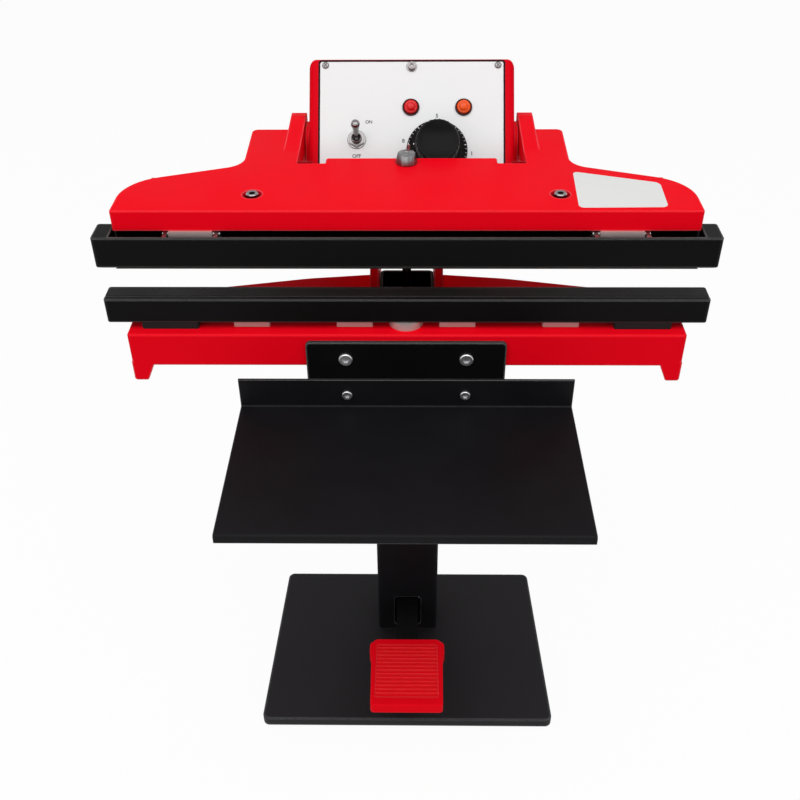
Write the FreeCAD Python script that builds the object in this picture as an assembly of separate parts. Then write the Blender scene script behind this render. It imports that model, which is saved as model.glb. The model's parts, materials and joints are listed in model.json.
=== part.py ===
"""Foot pedal impulse sealer: a column on a weighted base, two long jaws, a work table and a control box.

Pressing the pedal pulls a rod down through the column, which swings the upper jaw shut on the lower one.
Frame: millimetres, +Z up, the operator stands on the -Y side, origin under the middle of the machine.
"""
import FreeCAD, Part
import math
import os

# Heights, above the floor or above the top of the column
foot_height = 6.0
base_top = 20.0
pedal_pivot_height = 54.0
column_top = 560.0
lower_bar_rise = 66.9
hinge_rise = 168.0
jaw_gap = 37.4
casting_lip_gap = 2.5
table_drop = 29.0
lower_bar_bottom = column_top + lower_bar_rise
hinge_height = column_top + hinge_rise
table_height = column_top - table_drop

# Depths, measured back from the front face of the jaw bars
column_set_back = 102.0
rod_set_back = 122.0
hinge_set_back = 228.0
pedal_pivot_set_back = 198.0
base_front_set_back = -55.0
pedal_front_set_back = -96.0
lower_casting_front_set_back = -10.8
upper_casting_front_set_back = 10.9

# Base tray
base_front_width = 395.0
base_back_width = 372.0
base_depth = 266.0
base_sheet = 3.0
base_return_width = 16.0
base_corner_radius = 9.0
foot_radius = 12.0
foot_inset = 17.0

# Column and neck, both rectangular tubes
column_width = 85.0
column_depth = 64.0
column_wall = 3.0
column_corner_radius = 6.0
head_plate_thickness = 8.0
head_plate_margin = 12.0
neck_depth = 57.0
neck_side_gap = 0.3
neck_wall = 3.0
neck_rise = 34.0
foot_plate_thickness = 6.0

# Jaw bars
bar_length = 620.0
upper_bar_height = 33.0
upper_bar_depth = 31.3
upper_bar_wall = 2.6
upper_bar_web = 8.0
bar_end_solid = 17.0
lower_bar_height = 27.7
lower_bar_depth = 26.4
bar_edge_radius = 1.2
bar_corner_radius = 3.0

# Sealing face
strip_width = 14.0
strip_depth = 4.0
strip_proud = 0.6
seal_set_back = 14.0
ribbon_width = 5.0
ribbon_set_back = 11.4
insulation_thickness = 1.0
ribbon_thickness = 0.4
release_sheet_thickness = 0.4
release_sheet_width = 20.0
ribbon_clamp_length = 16.0
ribbon_clamp_thickness = 0.5

# Castings
casting_half_width = 289.5
casting_wall = 5.0
casting_top_wall = 6.0
upper_skirt = 21.5
lower_skirt = 38.0
lower_end_leg = 57.5
end_leg_width = 14.5
wing_corner_set_back = 76.0
wing_corner_radius = 50.0
wing_slope = 0.349
ear_outer_front = 172.5
ear_outer_back = 174.5
ear_fillet_radius = 24.0
ear_back_set_back = 212.0
arm_thickness = 17.0
arm_radius = 20.0
arm_rise = 6.0
arm_ramp_set_back = 150.0
head_offset = 5.2
tab_half_width = 91.0
tab_set_back = 134.0
jaw_bolt_spacing = 308.0
jaw_bolt_set_back = 47.7
cup_radius = 10.0
cup_depth = 5.0

# Hanging of the upper bar
hanger_inner = 191.0
hanger_outer = 234.0
bar_pivot_set_back = 15.6
bar_pivot_below_casting = 5.5
bar_pivot_radius = 3.0

# Hinge yoke
cheek_inner = 31.0
cheek_thickness = 9.0
yoke_plate_drop = 34.0
yoke_plate_thickness = 8.0
lug_gap = 0.8
lug_thickness = 4.2
arm_gap = 1.0
hinge_pin_radius = 9.0
bush_wall = 2.5

# Rod, spring and pedal
rod_radius = 5.0
cap_bottom_radius = 11.5
cap_top_radius = 9.5
cap_height = 11.0
stop_collar_height = 8.0
spring_length = 82.0
spring_radius = 11.4
spring_wire_radius = 1.6
spring_turns = 7
rod_ball_radius = 6.5
rod_ball_lift = 0.5
rod_pin_rise = 18.0
rod_pin_radius = 4.0
pivot_pin_radius = 5.0
lever_width = 30.0
lever_wall = 4.0
lever_height = 22.0
pad_length = 117.0
pad_front_width = 93.0
pad_back_width = 101.0
pad_thickness = 14.0
pad_front_top = 110.0
pad_slope = 6.6
pad_rib_count = 14

# Shelf
bracket_width = 209.0
bracket_height = 77.0
bracket_thickness = 4.0
bracket_drop = 7.0
bracket_screw_spacing = 126.0
table_width = 357.0
table_depth = 198.8
table_sheet = 2.7
table_flange = 35.0
table_lip = 9.5

# Control box
panel_tilt = 50.3
panel_bottom_set_back = 163.7
panel_bottom_rise = 6.4
panel_width = 205.1
panel_length = 134.7
panel_thickness = 2.0
box_half_width = 115.2
box_sheet = 3.0
box_rim = 3.0
box_back_set_back = 280.0
box_corner_radius = 10.0
box_side_radius = 7.0
panel_gap = 1.2
control_zero = 19.3
lamp_radius = 9.6
gland_reach = 14.0
toggle_pivot_height = 6.0
toggle_ball_radius = 2.8
toggle_length = 28.0
toggle_lean = 22.0
toggle_nut_radius = 10.4
knob_skirt_radius = 34.0
knob_cap_radius = 23.3
knob_height = 40.0

# Inside the box
transformer_x = -50.0
transformer_width = 72.0
transformer_depth = 34.0
transformer_height = 58.0
transformer_set_in = 13.0
board_length = 43.0
board_height = 50.0

# Clearances
running_gap = 0.05
slip_gap = 0.3
bolt_gap = 0.3
press_gap = 0.02
eye_play = 0.2


# The table's front edge and the gland's mouth are the ends of the machine, and Y = 0 is midway between them
front_reach = -lower_casting_front_set_back + bracket_thickness + table_depth
bar_front_y = (front_reach - box_back_set_back - gland_reach) / 2


def y_at(set_back):
    """Y of a place a given distance behind the front face of the bars."""
    return bar_front_y + set_back


# Places that follow from the sizes above
lower_bar_top = lower_bar_bottom + lower_bar_height
upper_bar_bottom = lower_bar_top + jaw_gap
upper_bar_top = upper_bar_bottom + upper_bar_height
upper_casting_bottom = upper_bar_top + casting_lip_gap
upper_casting_top = upper_casting_bottom + upper_skirt
lower_casting_top = lower_bar_bottom - 8.0
lower_casting_bottom = lower_casting_top - lower_skirt
head_plate_top = column_top + head_plate_thickness
neck_top = head_plate_top + neck_rise
hinge_y = y_at(hinge_set_back)
rod_y = y_at(rod_set_back)
pedal_pivot_y = y_at(pedal_pivot_set_back)
column_front_y = y_at(column_set_back)
column_back_y = column_front_y + column_depth
column_mid_y = column_front_y + column_depth / 2
bar_pivot_y = y_at(bar_pivot_set_back)
bar_pivot_z = upper_casting_bottom - bar_pivot_below_casting
rod_ball_z = upper_casting_top + rod_ball_lift
rod_pin_z = pedal_pivot_height + rod_pin_rise

parts = {}


def vec(x, y, z):
    return FreeCAD.Vector(x, y, z)


def block(x0, x1, y0, y1, z0, z1):
    """Rectangular solid between two corners."""
    return Part.makeBox(x1 - x0, y1 - y0, z1 - z0, vec(x0, y0, z0))


def bar_x(radius, x0, x1, y, z):
    """Round bar along X."""
    return Part.makeCylinder(radius, x1 - x0, vec(x0, y, z), vec(1, 0, 0))


def bar_y(radius, y0, y1, x, z):
    """Round bar along Y."""
    return Part.makeCylinder(radius, y1 - y0, vec(x, y0, z), vec(0, 1, 0))


def bar_z(radius, z0, z1, x, y):
    """Round bar along Z."""
    return Part.makeCylinder(radius, z1 - z0, vec(x, y, z0))


def outline(points, radii, place):
    """Closed wire through flat corner points, each corner rounded by its radius; place makes a vector."""
    edges = []
    last_end = None
    first_start = None
    count = len(points)
    for index, (px, py) in enumerate(points):
        ax, ay = points[index - 1]
        bx, by = points[(index + 1) % count]
        radius = radii[index] if isinstance(radii, (list, tuple)) else radii
        to_a = FreeCAD.Vector(ax - px, ay - py, 0).normalize()
        to_b = FreeCAD.Vector(bx - px, by - py, 0).normalize()
        corner = FreeCAD.Vector(px, py, 0)
        if radius > 0:
            half = to_a.getAngle(to_b) / 2
            reach = radius / math.tan(half)
            start = corner + to_a * reach
            end = corner + to_b * reach
            towards = (to_a + to_b).normalize()
            middle = corner + towards * (radius / math.sin(half) - radius)
            arc = Part.Arc(place(start.x, start.y), place(middle.x, middle.y), place(end.x, end.y))
        else:
            start = end = corner
            arc = None
        if last_end is not None:
            edges.append(Part.makeLine(place(last_end.x, last_end.y), place(start.x, start.y)))
        else:
            first_start = start
        if arc is not None:
            edges.append(arc.toShape())
        last_end = end
    edges.append(Part.makeLine(place(last_end.x, last_end.y), place(first_start.x, first_start.y)))
    return Part.Wire(edges)


def slab(points, radii, z0, z1):
    """Solid with a rounded plan outline between two heights."""
    wire = outline(points, radii, lambda a, b: vec(a, b, z0))
    return Part.Face(wire).extrude(vec(0, 0, z1 - z0))


def side_profile(points, radii, x0, x1):
    """Solid with a rounded side outline, points as (y, z), between two X faces."""
    wire = outline(points, radii, lambda a, b: vec(x0, a, b))
    return Part.Face(wire).extrude(vec(x1 - x0, 0, 0))


def front_profile(points, radii, y0, y1):
    """Solid with a rounded front outline, points as (x, z), between two Y faces."""
    wire = outline(points, radii, lambda a, b: vec(a, y0, b))
    return Part.Face(wire).extrude(vec(0, y1 - y0, 0))


def rectangle(x0, x1, y0, y1):
    return [(x0, y0), (x1, y0), (x1, y1), (x0, y1)]


def tube(width, y0, y1, wall, radius, z0, z1):
    """Upright rectangular tube centred on X."""
    outer = slab(rectangle(-width / 2, width / 2, y0, y1), radius, z0, z1)
    inner = slab(rectangle(-width / 2 + wall, width / 2 - wall, y0 + wall, y1 - wall),
                 radius - wall, z0 - 1, z1 + 1)
    return outer.cut(inner)


def turned(points, centre, axis):
    """Solid of revolution from (radius, height) points about an axis through centre."""
    wire = Part.makePolygon([vec(r, 0, h) for r, h in points + points[:1]])
    shape = Part.Face(wire).revolve(vec(0, 0, 0), vec(0, 0, 1), 360)
    turn = FreeCAD.Rotation(vec(0, 0, 1), axis)
    shape.Placement = FreeCAD.Placement(centre, turn)
    return shape


def bolt(centre, axis, radius, length, head_radius, head_height, sides=6):
    """Bolt whose head sits on centre and whose shank runs against axis."""
    corners = [vec(head_radius * math.cos(2 * math.pi * k / sides), head_radius * math.sin(2 * math.pi * k / sides), 0)
               for k in range(sides)]
    if sides > 0:
        head = Part.Face(Part.makePolygon(corners + corners[:1])).extrude(vec(0, 0, head_height))
    else:
        head = Part.makeCylinder(head_radius, head_height)
    shank = Part.makeCylinder(radius, length, vec(0, 0, -length))
    shape = head.fuse(shank).removeSplitter()
    shape.Placement = FreeCAD.Placement(centre, FreeCAD.Rotation(vec(0, 0, 1), axis))
    return shape


def socket_screw(centre, axis, radius, length, head_radius, head_height):
    """Round-headed screw with a hexagon socket."""
    key = head_radius * 0.55
    corners = [vec(key * math.cos(math.pi * k / 3), key * math.sin(math.pi * k / 3), head_height) for k in range(6)]
    socket = Part.Face(Part.makePolygon(corners + corners[:1])).extrude(vec(0, 0, -head_height * 0.6))
    head = Part.makeCylinder(head_radius, head_height)
    head = head.makeChamfer(head_radius * 0.12, [e for e in head.Edges if e.BoundBox.ZMin > head_height - 0.01])
    shape = head.cut(socket).fuse(Part.makeCylinder(radius, length, vec(0, 0, -length)))
    shape.Placement = FreeCAD.Placement(centre, FreeCAD.Rotation(vec(0, 0, 1), axis))
    return shape


def mirrored(shape):
    """A shape's twin on the other side of the middle plane."""
    return shape.mirror(vec(0, 0, 0), vec(1, 0, 0))


def pair(shape):
    return group([shape, mirrored(shape)])


def shifted(shape):
    """A shape moved onto the centre line of the box and the arms, a little to the right of the column's."""
    moved = shape.copy()
    moved.translate(vec(head_offset, 0, 0))
    return moved


def group(shapes):
    return Part.makeCompound(shapes)


def cut_all(shape, tools):
    for tool in tools:
        shape = shape.cut(tool)
    return shape


def fuse_all(shapes):
    shape = shapes[0].multiFuse(shapes[1:])
    return shape.removeSplitter()


def round_edges(shape, radius, wanted):
    """Fillet the edges that a test picks."""
    return shape.makeFillet(radius, [edge for edge in shape.Edges if wanted(edge)])


def flat_at(edge, z):
    """True for an edge that lies wholly at one height."""
    box = edge.BoundBox
    return abs(box.ZMin - z) < 0.01 and abs(box.ZMax - z) < 0.01


# Base tray: sheet steel pressed with a skirt all round and a return flange that carries the rubber feet
base_front_y = y_at(base_front_set_back)
base_back_y = base_front_y + base_depth
column_bolt_x = column_width / 2 - 18.0
column_bolt_y = column_depth / 2 - 15.0
column_bolt_places = [(sx * column_bolt_x, column_mid_y + sy * column_bolt_y) for sx in (-1, 1) for sy in (-1, 1)]
column_bolt_radius = 4.0
doubler_thickness = 5.0
pivot_bracket_thickness = 4.0
pivot_bolt_places = [(-27.5, pedal_pivot_y - 14.0), (27.5, pedal_pivot_y - 14.0)]
pivot_bolt_radius = 3.0


def base_outline(inset):
    front = base_front_width / 2 - inset
    back = base_back_width / 2 - inset
    return [(-front, base_front_y + inset), (front, base_front_y + inset),
            (back, base_back_y - inset), (-back, base_back_y - inset)]


def make_base():
    tray = slab(base_outline(0), base_corner_radius, foot_height, base_top)
    tray = round_edges(tray, 2.0, lambda e: flat_at(e, base_top))
    cavity = slab(base_outline(base_sheet), base_corner_radius - base_sheet,
                  foot_height + base_sheet, base_top - base_sheet)
    mouth = slab(base_outline(base_return_width), 3.0, foot_height - 1, foot_height + base_sheet + 1)
    holes = [bar_z(column_bolt_radius + bolt_gap, 0, base_top + 1, x, y) for x, y in column_bolt_places]
    holes += [bar_z(pivot_bolt_radius + bolt_gap, 0, base_top + 1, x, y) for x, y in pivot_bolt_places]
    holes += [bar_z(2.5 + bolt_gap, 0, foot_height + base_sheet + 1, x, y) for x, y in foot_places()]
    parts["base_tray"] = cut_all(tray, [cavity, mouth] + holes)
    doubler = slab(rectangle(-80, 80, column_front_y - 25, base_back_y - base_return_width - 2), 6,
                   base_top - base_sheet - doubler_thickness, base_top - base_sheet)
    holes = [bar_z(column_bolt_radius + bolt_gap, 0, base_top, x, y) for x, y in column_bolt_places]
    holes += [bar_z(pivot_bolt_radius, 0, base_top, x, y) for x, y in pivot_bolt_places]
    parts["base_doubler_plate"] = cut_all(doubler, holes)


def foot_places():
    return [(sx * (half - foot_inset), y) for half, y in
            ((base_front_width / 2, base_front_y + foot_inset), (base_back_width / 2, base_back_y - foot_inset))
            for sx in (-1, 1)]


def make_feet():
    section = [(2.5 + bolt_gap, foot_height), (2.5 + bolt_gap, 3.0), (5.0, 3.0), (5.0, 0), (foot_radius - 1.5, 0),
               (foot_radius, foot_height)]
    feet = [turned(section, vec(x, y, 0), vec(0, 0, 1)) for x, y in foot_places()]
    parts["rubber_feet"] = group(feet)
    foot_screws = [bolt(vec(x, y, 3.0), vec(0, 0, -1), 2.5, 9.0, 4.5, 2.0, sides=0) for x, y in foot_places()]
    doubler_bottom = base_top - base_sheet - doubler_thickness
    column_bolts = [bolt(vec(x, y, doubler_bottom), vec(0, 0, -1), column_bolt_radius - press_gap,
                         base_top + foot_plate_thickness + 3 - doubler_bottom, 7.0, 5.0) for x, y in column_bolt_places]
    bracket_top_z = base_top + pivot_bracket_thickness
    bracket_bolts = [bolt(vec(x, y, bracket_top_z), vec(0, 0, 1), pivot_bolt_radius - press_gap,
                          bracket_top_z - doubler_bottom + 1, 5.0, 4.0) for x, y in pivot_bolt_places]
    parts["base_bolts"] = group(column_bolts + bracket_bolts + foot_screws)


# Column: rectangular tube bolted down through an inner foot plate, slotted for the pedal lever
slot_half_width = lever_width / 2 + 4.0
spring_shelf_top = column_top - stop_collar_height - spring_length


def make_column():
    shell = tube(column_width, column_front_y, column_back_y, column_wall, column_corner_radius, base_top, column_top)
    front_slot = front_profile([(-slot_half_width, 30), (slot_half_width, 30), (slot_half_width, 90),
                                (-slot_half_width, 90)], 4.0, column_front_y - 1, column_front_y + column_wall + 4)
    back_slot = front_profile([(-slot_half_width, 30), (slot_half_width, 30), (slot_half_width, 82),
                               (-slot_half_width, 82)], 4.0, column_back_y - column_wall - 4, column_back_y + 1)
    parts["column"] = cut_all(shell, [front_slot, back_slot])
    inner_x = column_width / 2 - column_wall
    inner_front = column_front_y + column_wall
    inner_back = column_back_y - column_wall
    plan = rectangle(-inner_x, inner_x, inner_front, inner_back)
    plate = slab(plan, column_corner_radius - column_wall, base_top, base_top + foot_plate_thickness)
    holes = [bar_z(column_bolt_radius, base_top - 1, base_top + 20, x, y) for x, y in column_bolt_places]
    parts["column_foot_plate"] = cut_all(plate, holes)
    shelf = slab(plan, column_corner_radius - column_wall, spring_shelf_top - 5, spring_shelf_top)
    parts["spring_shelf"] = shelf.cut(bar_z(rod_radius + 3.8, spring_shelf_top - 6, spring_shelf_top + 1, 0, rod_y))


def head_bolt_places():
    x = column_width / 2 + head_plate_margin - 7
    return [(sx * x, y) for sx in (-1, 1) for y in (column_front_y + 6, column_back_y - 6)]


def make_head():
    """Plate welded on the column; the neck tube and the yoke stand on it."""
    x = column_width / 2 + head_plate_margin
    plate = slab(rectangle(-x, x, column_front_y - 6, column_back_y + 6), 8, column_top, head_plate_top)
    rod_hole = bar_z(rod_radius + 3.6, column_top - 1, head_plate_top + 1, 0, rod_y)
    bolt_holes = [bar_z(4 + bolt_gap, column_top - 1, head_plate_top + 1, hx, hy) for hx, hy in head_bolt_places()]
    parts["column_head_plate"] = cut_all(plate, [rod_hole] + bolt_holes)
    parts["neck_tube"] = tube(2 * (cheek_inner - neck_side_gap), rod_y - neck_depth / 2, rod_y + neck_depth / 2,
                              neck_wall, 6.0, head_plate_top, neck_top)


# Hinge yoke: two cheeks that carry the lower jaw, and a cross plate with lugs for the hinge pins
lug_inner = box_half_width + lug_gap
lug_outer = lug_inner + lug_thickness
yoke_back_y = y_at(box_back_set_back) - 4
yoke_plate_bottom = hinge_height - yoke_plate_drop
yoke_plate_top = yoke_plate_bottom + yoke_plate_thickness
cheek_outer = cheek_inner + cheek_thickness
mount_bolt_places = [(y_at(72.0), lower_casting_bottom + 16), (y_at(98.0), lower_casting_bottom + 16)]
mount_bolt_radius = 4.0


def make_yoke():
    foot_top = head_plate_top + 6
    bend = yoke_plate_bottom - 54
    cheek = side_profile([(y_at(56), head_plate_top), (column_back_y + 6, head_plate_top), (y_at(206), bend),
                          (yoke_back_y, yoke_plate_bottom), (yoke_back_y, yoke_plate_top),
                          (y_at(158), yoke_plate_top), (y_at(96), bend + 6), (y_at(56), bend - 24)],
                         [6, 0, 60, 6, 0, 20, 30, 8], cheek_inner, cheek_outer)
    foot = slab(rectangle(cheek_inner, column_width / 2 + head_plate_margin, column_front_y - 6, column_back_y + 6),
                [0, 8, 8, 0], head_plate_top, foot_top)
    gusset_shape = [(cheek_outer - 1, bend), (lug_outer - 8, yoke_plate_bottom), (cheek_outer - 1, yoke_plate_bottom)]
    gussets = [front_profile(gusset_shape, 0, y, y + 8) for y in (y_at(170), y_at(232))]
    lug = side_profile([(hinge_y - 32, yoke_plate_bottom), (hinge_y + 34, yoke_plate_bottom),
                        (hinge_y + arm_radius, hinge_height + arm_radius),
                        (hinge_y - arm_radius, hinge_height + arm_radius)],
                       [0, 0, arm_radius - 1, arm_radius - 1], lug_inner, lug_outer)
    half = fuse_all([cheek, foot] + gussets)
    plate = slab(rectangle(-lug_outer, lug_outer, y_at(153), yoke_back_y), 5, yoke_plate_bottom, yoke_plate_top)
    yoke = fuse_all([half, mirrored(half), shifted(plate), shifted(lug), shifted(mirrored(lug))])
    holes = [bar_z(4 + bolt_gap, head_plate_top - 1, foot_top + 1, x, y) for x, y in head_bolt_places()]
    holes += [bar_x(mount_bolt_radius, -cheek_outer - 1, -cheek_inner + 1, y, z) for y, z in mount_bolt_places]
    holes += [bar_x(mount_bolt_radius, cheek_inner - 1, cheek_outer + 1, y, z) for y, z in mount_bolt_places]
    holes += [shifted(bar_x(hinge_pin_radius, -lug_outer - 1, lug_outer + 1, hinge_y, hinge_height))]
    holes += [shifted(bar_z(2.5 + bolt_gap, yoke_plate_bottom - 1, yoke_plate_top + 1, x, y))
              for x, y in box_screw_places()]
    yoke = cut_all(yoke, holes)
    parts["hinge_yoke"] = yoke
    bolts = [bolt(vec(x, y, foot_top), vec(0, 0, 1), 4.0, foot_top - column_top + 2, 7.0, 5.0)
             for x, y in head_bolt_places()]
    parts["yoke_bolts"] = group(bolts)


def box_screw_places():
    return [(sx * 70.0, y) for sx in (-1, 1) for y in (y_at(192), y_at(262))]


# Lower jaw: cast shell with a notch that straddles the neck, and a bar carried on spacers
notch_half = cheek_outer + 0.3
notch_front_y = y_at(52.0)
spacer_centres = [-161.0, -53.5, 53.5, 161.0]
spacer_length = 38.0
end_pad_length = 59.0
lower_front_y = y_at(lower_casting_front_set_back)


def lower_plan(inset):
    """Plan outline of the lower casting, pulled in by a wall thickness."""
    side = casting_half_width - inset
    right = [(side, lower_front_y + inset), (side, y_at(34) - inset), (250 - inset / 2, y_at(70) - inset),
             (200, y_at(86) - inset), (110, y_at(104.5) - inset), (notch_half + inset, y_at(113) - inset),
             (notch_half + inset, notch_front_y - inset)]
    left = [(-x, y) for x, y in reversed(right)]
    return right + left


lower_plan_radii = [3.0, 12.0, 22.0, 30.0, 120.0, 1.5, 1.5]
bracket_front_y = lower_front_y - bracket_thickness
bracket_top = lower_casting_top - bracket_drop
bracket_screw_top = lower_casting_top - 27.0
bracket_screw_bottom = bracket_top - bracket_height + 12.0


def make_lower_casting():
    radii = lower_plan_radii + lower_plan_radii[::-1]
    shell = slab(lower_plan(0), radii, lower_casting_bottom, lower_casting_top)
    shell = round_edges(shell, 2.0, lambda e: flat_at(e, lower_casting_top))
    inner_radii = [max(r - casting_wall, 1.0) if r < 100 else r for r in lower_plan_radii]
    cavity = slab(lower_plan(casting_wall), inner_radii + inner_radii[::-1], lower_casting_bottom - 1,
                  lower_casting_top - casting_top_wall)
    shell = shell.cut(cavity)
    leg_bottom = lower_casting_top - lower_end_leg
    side = casting_half_width
    leg = front_profile([(side, lower_casting_bottom + 4), (side, leg_bottom), (side - end_leg_width, leg_bottom),
                         (side - end_leg_width - 8, lower_casting_bottom), (side - end_leg_width - 8, lower_casting_bottom + 4)],
                        [0, 3, 3, 6, 0], lower_front_y, y_at(34))
    ribs = [block(x - 2.5, x + 2.5, lower_front_y + 2, y_at(84), lower_casting_bottom + 8, lower_casting_top - 2)
            for x in (107.0, 225.0)]
    bosses = [bar_z(9.0, lower_casting_top - 16, lower_casting_top - 2, x, y_at(seal_set_back))
              for x in spacer_centres if x > 0]
    half = [leg] + ribs + bosses
    casting = fuse_all([shell] + half + [mirrored(piece) for piece in half])
    holes = [bar_z(3 + bolt_gap, lower_casting_top - 20, lower_casting_top + 1, x, y_at(seal_set_back))
             for x in spacer_centres]
    wall = notch_half + casting_wall + 1
    holes += [bar_x(mount_bolt_radius + bolt_gap, -wall, wall, y, z) for y, z in mount_bolt_places]
    holes += [bar_y(3 + bolt_gap, lower_front_y - 1, lower_front_y + casting_wall + 1, sx * bracket_screw_spacing / 2,
                    bracket_screw_top) for sx in (-1, 1)]
    parts["lower_jaw_casting"] = cut_all(casting, holes)
    cross_bolt = [bolt(vec(notch_half + casting_wall, y, z), vec(1, 0, 0), mount_bolt_radius - 0.02,
                       casting_wall + cheek_thickness, 7.0, 5.0) for y, z in mount_bolt_places]
    parts["jaw_mount_bolts"] = group(cross_bolt + [mirrored(piece) for piece in cross_bolt])


def rounded_bar(y0, y1, z0, z1):
    """Solid bar of the full jaw length with rounded corners and softened edges."""
    bar = slab(rectangle(-bar_length / 2, bar_length / 2, y0, y1), bar_corner_radius, z0, z1)
    return round_edges(bar, bar_edge_radius, lambda e: flat_at(e, z0) or flat_at(e, z1))


def make_lower_bar():
    y0 = y_at(0)
    half = bar_length / 2
    bar = rounded_bar(y0, y0 + lower_bar_depth, lower_bar_bottom, lower_bar_top)
    groove = block(-half - 1, half + 1, y_at(seal_set_back) - strip_width / 2, y_at(seal_set_back) + strip_width / 2,
                   lower_bar_top - strip_depth, lower_bar_top + 1)
    bolt_depth = 12.0
    holes = [bar_z(3.0, lower_bar_bottom - 1, lower_bar_bottom + bolt_depth, x, y_at(seal_set_back))
             for x in spacer_centres]
    parts["lower_jaw_bar"] = cut_all(bar, [groove] + holes)
    strip_top = lower_bar_top + strip_proud
    strip = block(-half + 1, half - 1, y_at(seal_set_back) - strip_width / 2, y_at(seal_set_back) + strip_width / 2,
                  lower_bar_top - strip_depth, strip_top)
    strip = round_edges(strip, 0.5, lambda e: flat_at(e, strip_top) and e.Length > 100)
    parts["silicone_strip"] = strip
    spacers = []
    for x in spacer_centres:
        spacer = slab(rectangle(x - spacer_length / 2, x + spacer_length / 2, y_at(4.7), y_at(4.7) + 18), 1.5,
                      lower_casting_top, lower_bar_bottom)
        spacers.append(spacer.cut(bar_z(3 + bolt_gap, lower_casting_top - 1, lower_bar_bottom + 1, x, y_at(seal_set_back))))
    centre_rest = bar_z(18.0, lower_casting_top, lower_bar_bottom, 0, y_at(seal_set_back))
    centre_rest = centre_rest.cut(bar_z(6.0, lower_casting_top - 1, lower_bar_bottom + 1, 0, y_at(seal_set_back)))
    parts["lower_bar_spacers"] = group(spacers + [centre_rest])
    pad_outer = casting_half_width - end_leg_width
    pad = slab(rectangle(pad_outer - end_pad_length, pad_outer, y_at(0.5), y_at(lower_bar_depth - 0.5)), 2,
               lower_casting_top, lower_bar_bottom)
    parts["lower_bar_end_pads"] = pair(pad)
    bolts = [bolt(vec(x, y_at(seal_set_back), lower_casting_top - 16), vec(0, 0, -1), 3.0 - 0.02,
                  16 + 8 + bolt_depth - 1, 5.5, 4.0) for x in spacer_centres]
    parts["lower_bar_bolts"] = group(bolts)


# Shelf: a plate on the front of the lower jaw, and a folded sheet table screwed to it
table_flange_front_y = bracket_front_y - table_sheet


def make_shelf():
    half = bracket_width / 2
    plate = front_profile([(-half, bracket_top), (half, bracket_top), (half, bracket_top - bracket_height),
                           (-half, bracket_top - bracket_height)], 5.0, bracket_front_y, lower_front_y)
    plate = round_edges(plate, 0.8, lambda e: abs(e.BoundBox.YMax - bracket_front_y) < 0.01)
    places = [(sx * bracket_screw_spacing / 2, z) for sx in (-1, 1) for z in (bracket_screw_top, bracket_screw_bottom)]
    holes = [bar_y(3 + bolt_gap, bracket_front_y - 1, lower_front_y + 1, x, z) for x, z in places]
    parts["shelf_bracket"] = cut_all(plate, holes)
    table_top = table_height
    width = table_width / 2
    front = bracket_front_y - table_depth + table_sheet
    outer = side_profile([(bracket_front_y, table_top + table_flange), (bracket_front_y, table_top - table_sheet),
                          (front, table_top - table_sheet), (front, table_top - table_lip),
                          (front - table_sheet, table_top - table_lip), (front - table_sheet, table_top),
                          (table_flange_front_y, table_top), (table_flange_front_y, table_top + table_flange)],
                         [0, 4.0, 0.6, 0, 0, 3.0, 1.5, 0], -width, width)
    lower_holes = [bar_y(2.5 + bolt_gap, table_flange_front_y - 1, bracket_front_y + 1, sx * bracket_screw_spacing / 2,
                         bracket_screw_bottom) for sx in (-1, 1)]
    parts["work_table"] = cut_all(outer, lower_holes)
    fasteners = []
    for x in (-bracket_screw_spacing / 2, bracket_screw_spacing / 2):
        fasteners.append(socket_screw(vec(x, bracket_front_y, bracket_screw_top), vec(0, -1, 0), 3.0,
                                      bracket_thickness + casting_wall + 6, 7.2, 3.5))
        fasteners.append(nut_y(x, lower_front_y + casting_wall, bracket_screw_top, 5.5, 3.0 + press_gap, 5))
        fasteners.append(socket_screw(vec(x, table_flange_front_y, bracket_screw_bottom), vec(0, -1, 0), 2.5,
                                      table_sheet + bracket_thickness + 5, 5.6, 3.0))
        fasteners.append(nut_y(x, lower_front_y, bracket_screw_bottom, 4.6, 2.5 + press_gap, 4))
    parts["shelf_screws"] = group(fasteners)


def nut_y(x, y, z, radius, bore, height):
    """Hexagon nut lying along Y from its front face."""
    corners = [vec(x + radius * math.cos(math.pi * k / 3), y, z + radius * math.sin(math.pi * k / 3)) for k in range(6)]
    body = Part.Face(Part.makePolygon(corners + corners[:1])).extrude(vec(0, height, 0))
    return body.cut(bar_y(bore, y - 1, y + height + 1, x, z))


# Upper jaw: flat cast wing with two ears whose arms turn on the hinge pins
upper_front_y = y_at(upper_casting_front_set_back)
arm_inner = lug_outer + arm_gap
arm_outer = arm_inner + arm_thickness
ear_back_y = y_at(ear_back_set_back)
wing_back_set_back = 121.0


def upper_plan(inset):
    """Plan outline of the wing, its ears and the tab between them, pulled in by a wall thickness."""
    pull = (math.hypot(1, wing_slope) - wing_slope) * inset
    side = casting_half_width - inset
    corner_y = y_at(wing_corner_set_back) - pull
    ear_y = y_at(wing_corner_set_back + (casting_half_width - ear_outer_front) * wing_slope) - pull
    back_y = y_at(wing_back_set_back) - inset
    halves = []
    for shift in (head_offset, -head_offset):
        halves.append([(side, upper_front_y + inset), (side, corner_y), (ear_outer_front - inset, ear_y),
                       (ear_outer_back - inset, ear_back_y - inset),
                       (arm_inner + shift + inset, ear_back_y - inset), (arm_inner + shift + inset, back_y),
                       (tab_half_width + shift - inset, back_y),
                       (tab_half_width + shift - inset, y_at(tab_set_back) - inset)])
    right, left = halves
    return right + [(-x, y) for x, y in reversed(left)]


upper_plan_radii = [2.0, wing_corner_radius, ear_fillet_radius, 7.0, 3.0, 2.0, 1.5, 3.0]


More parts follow.
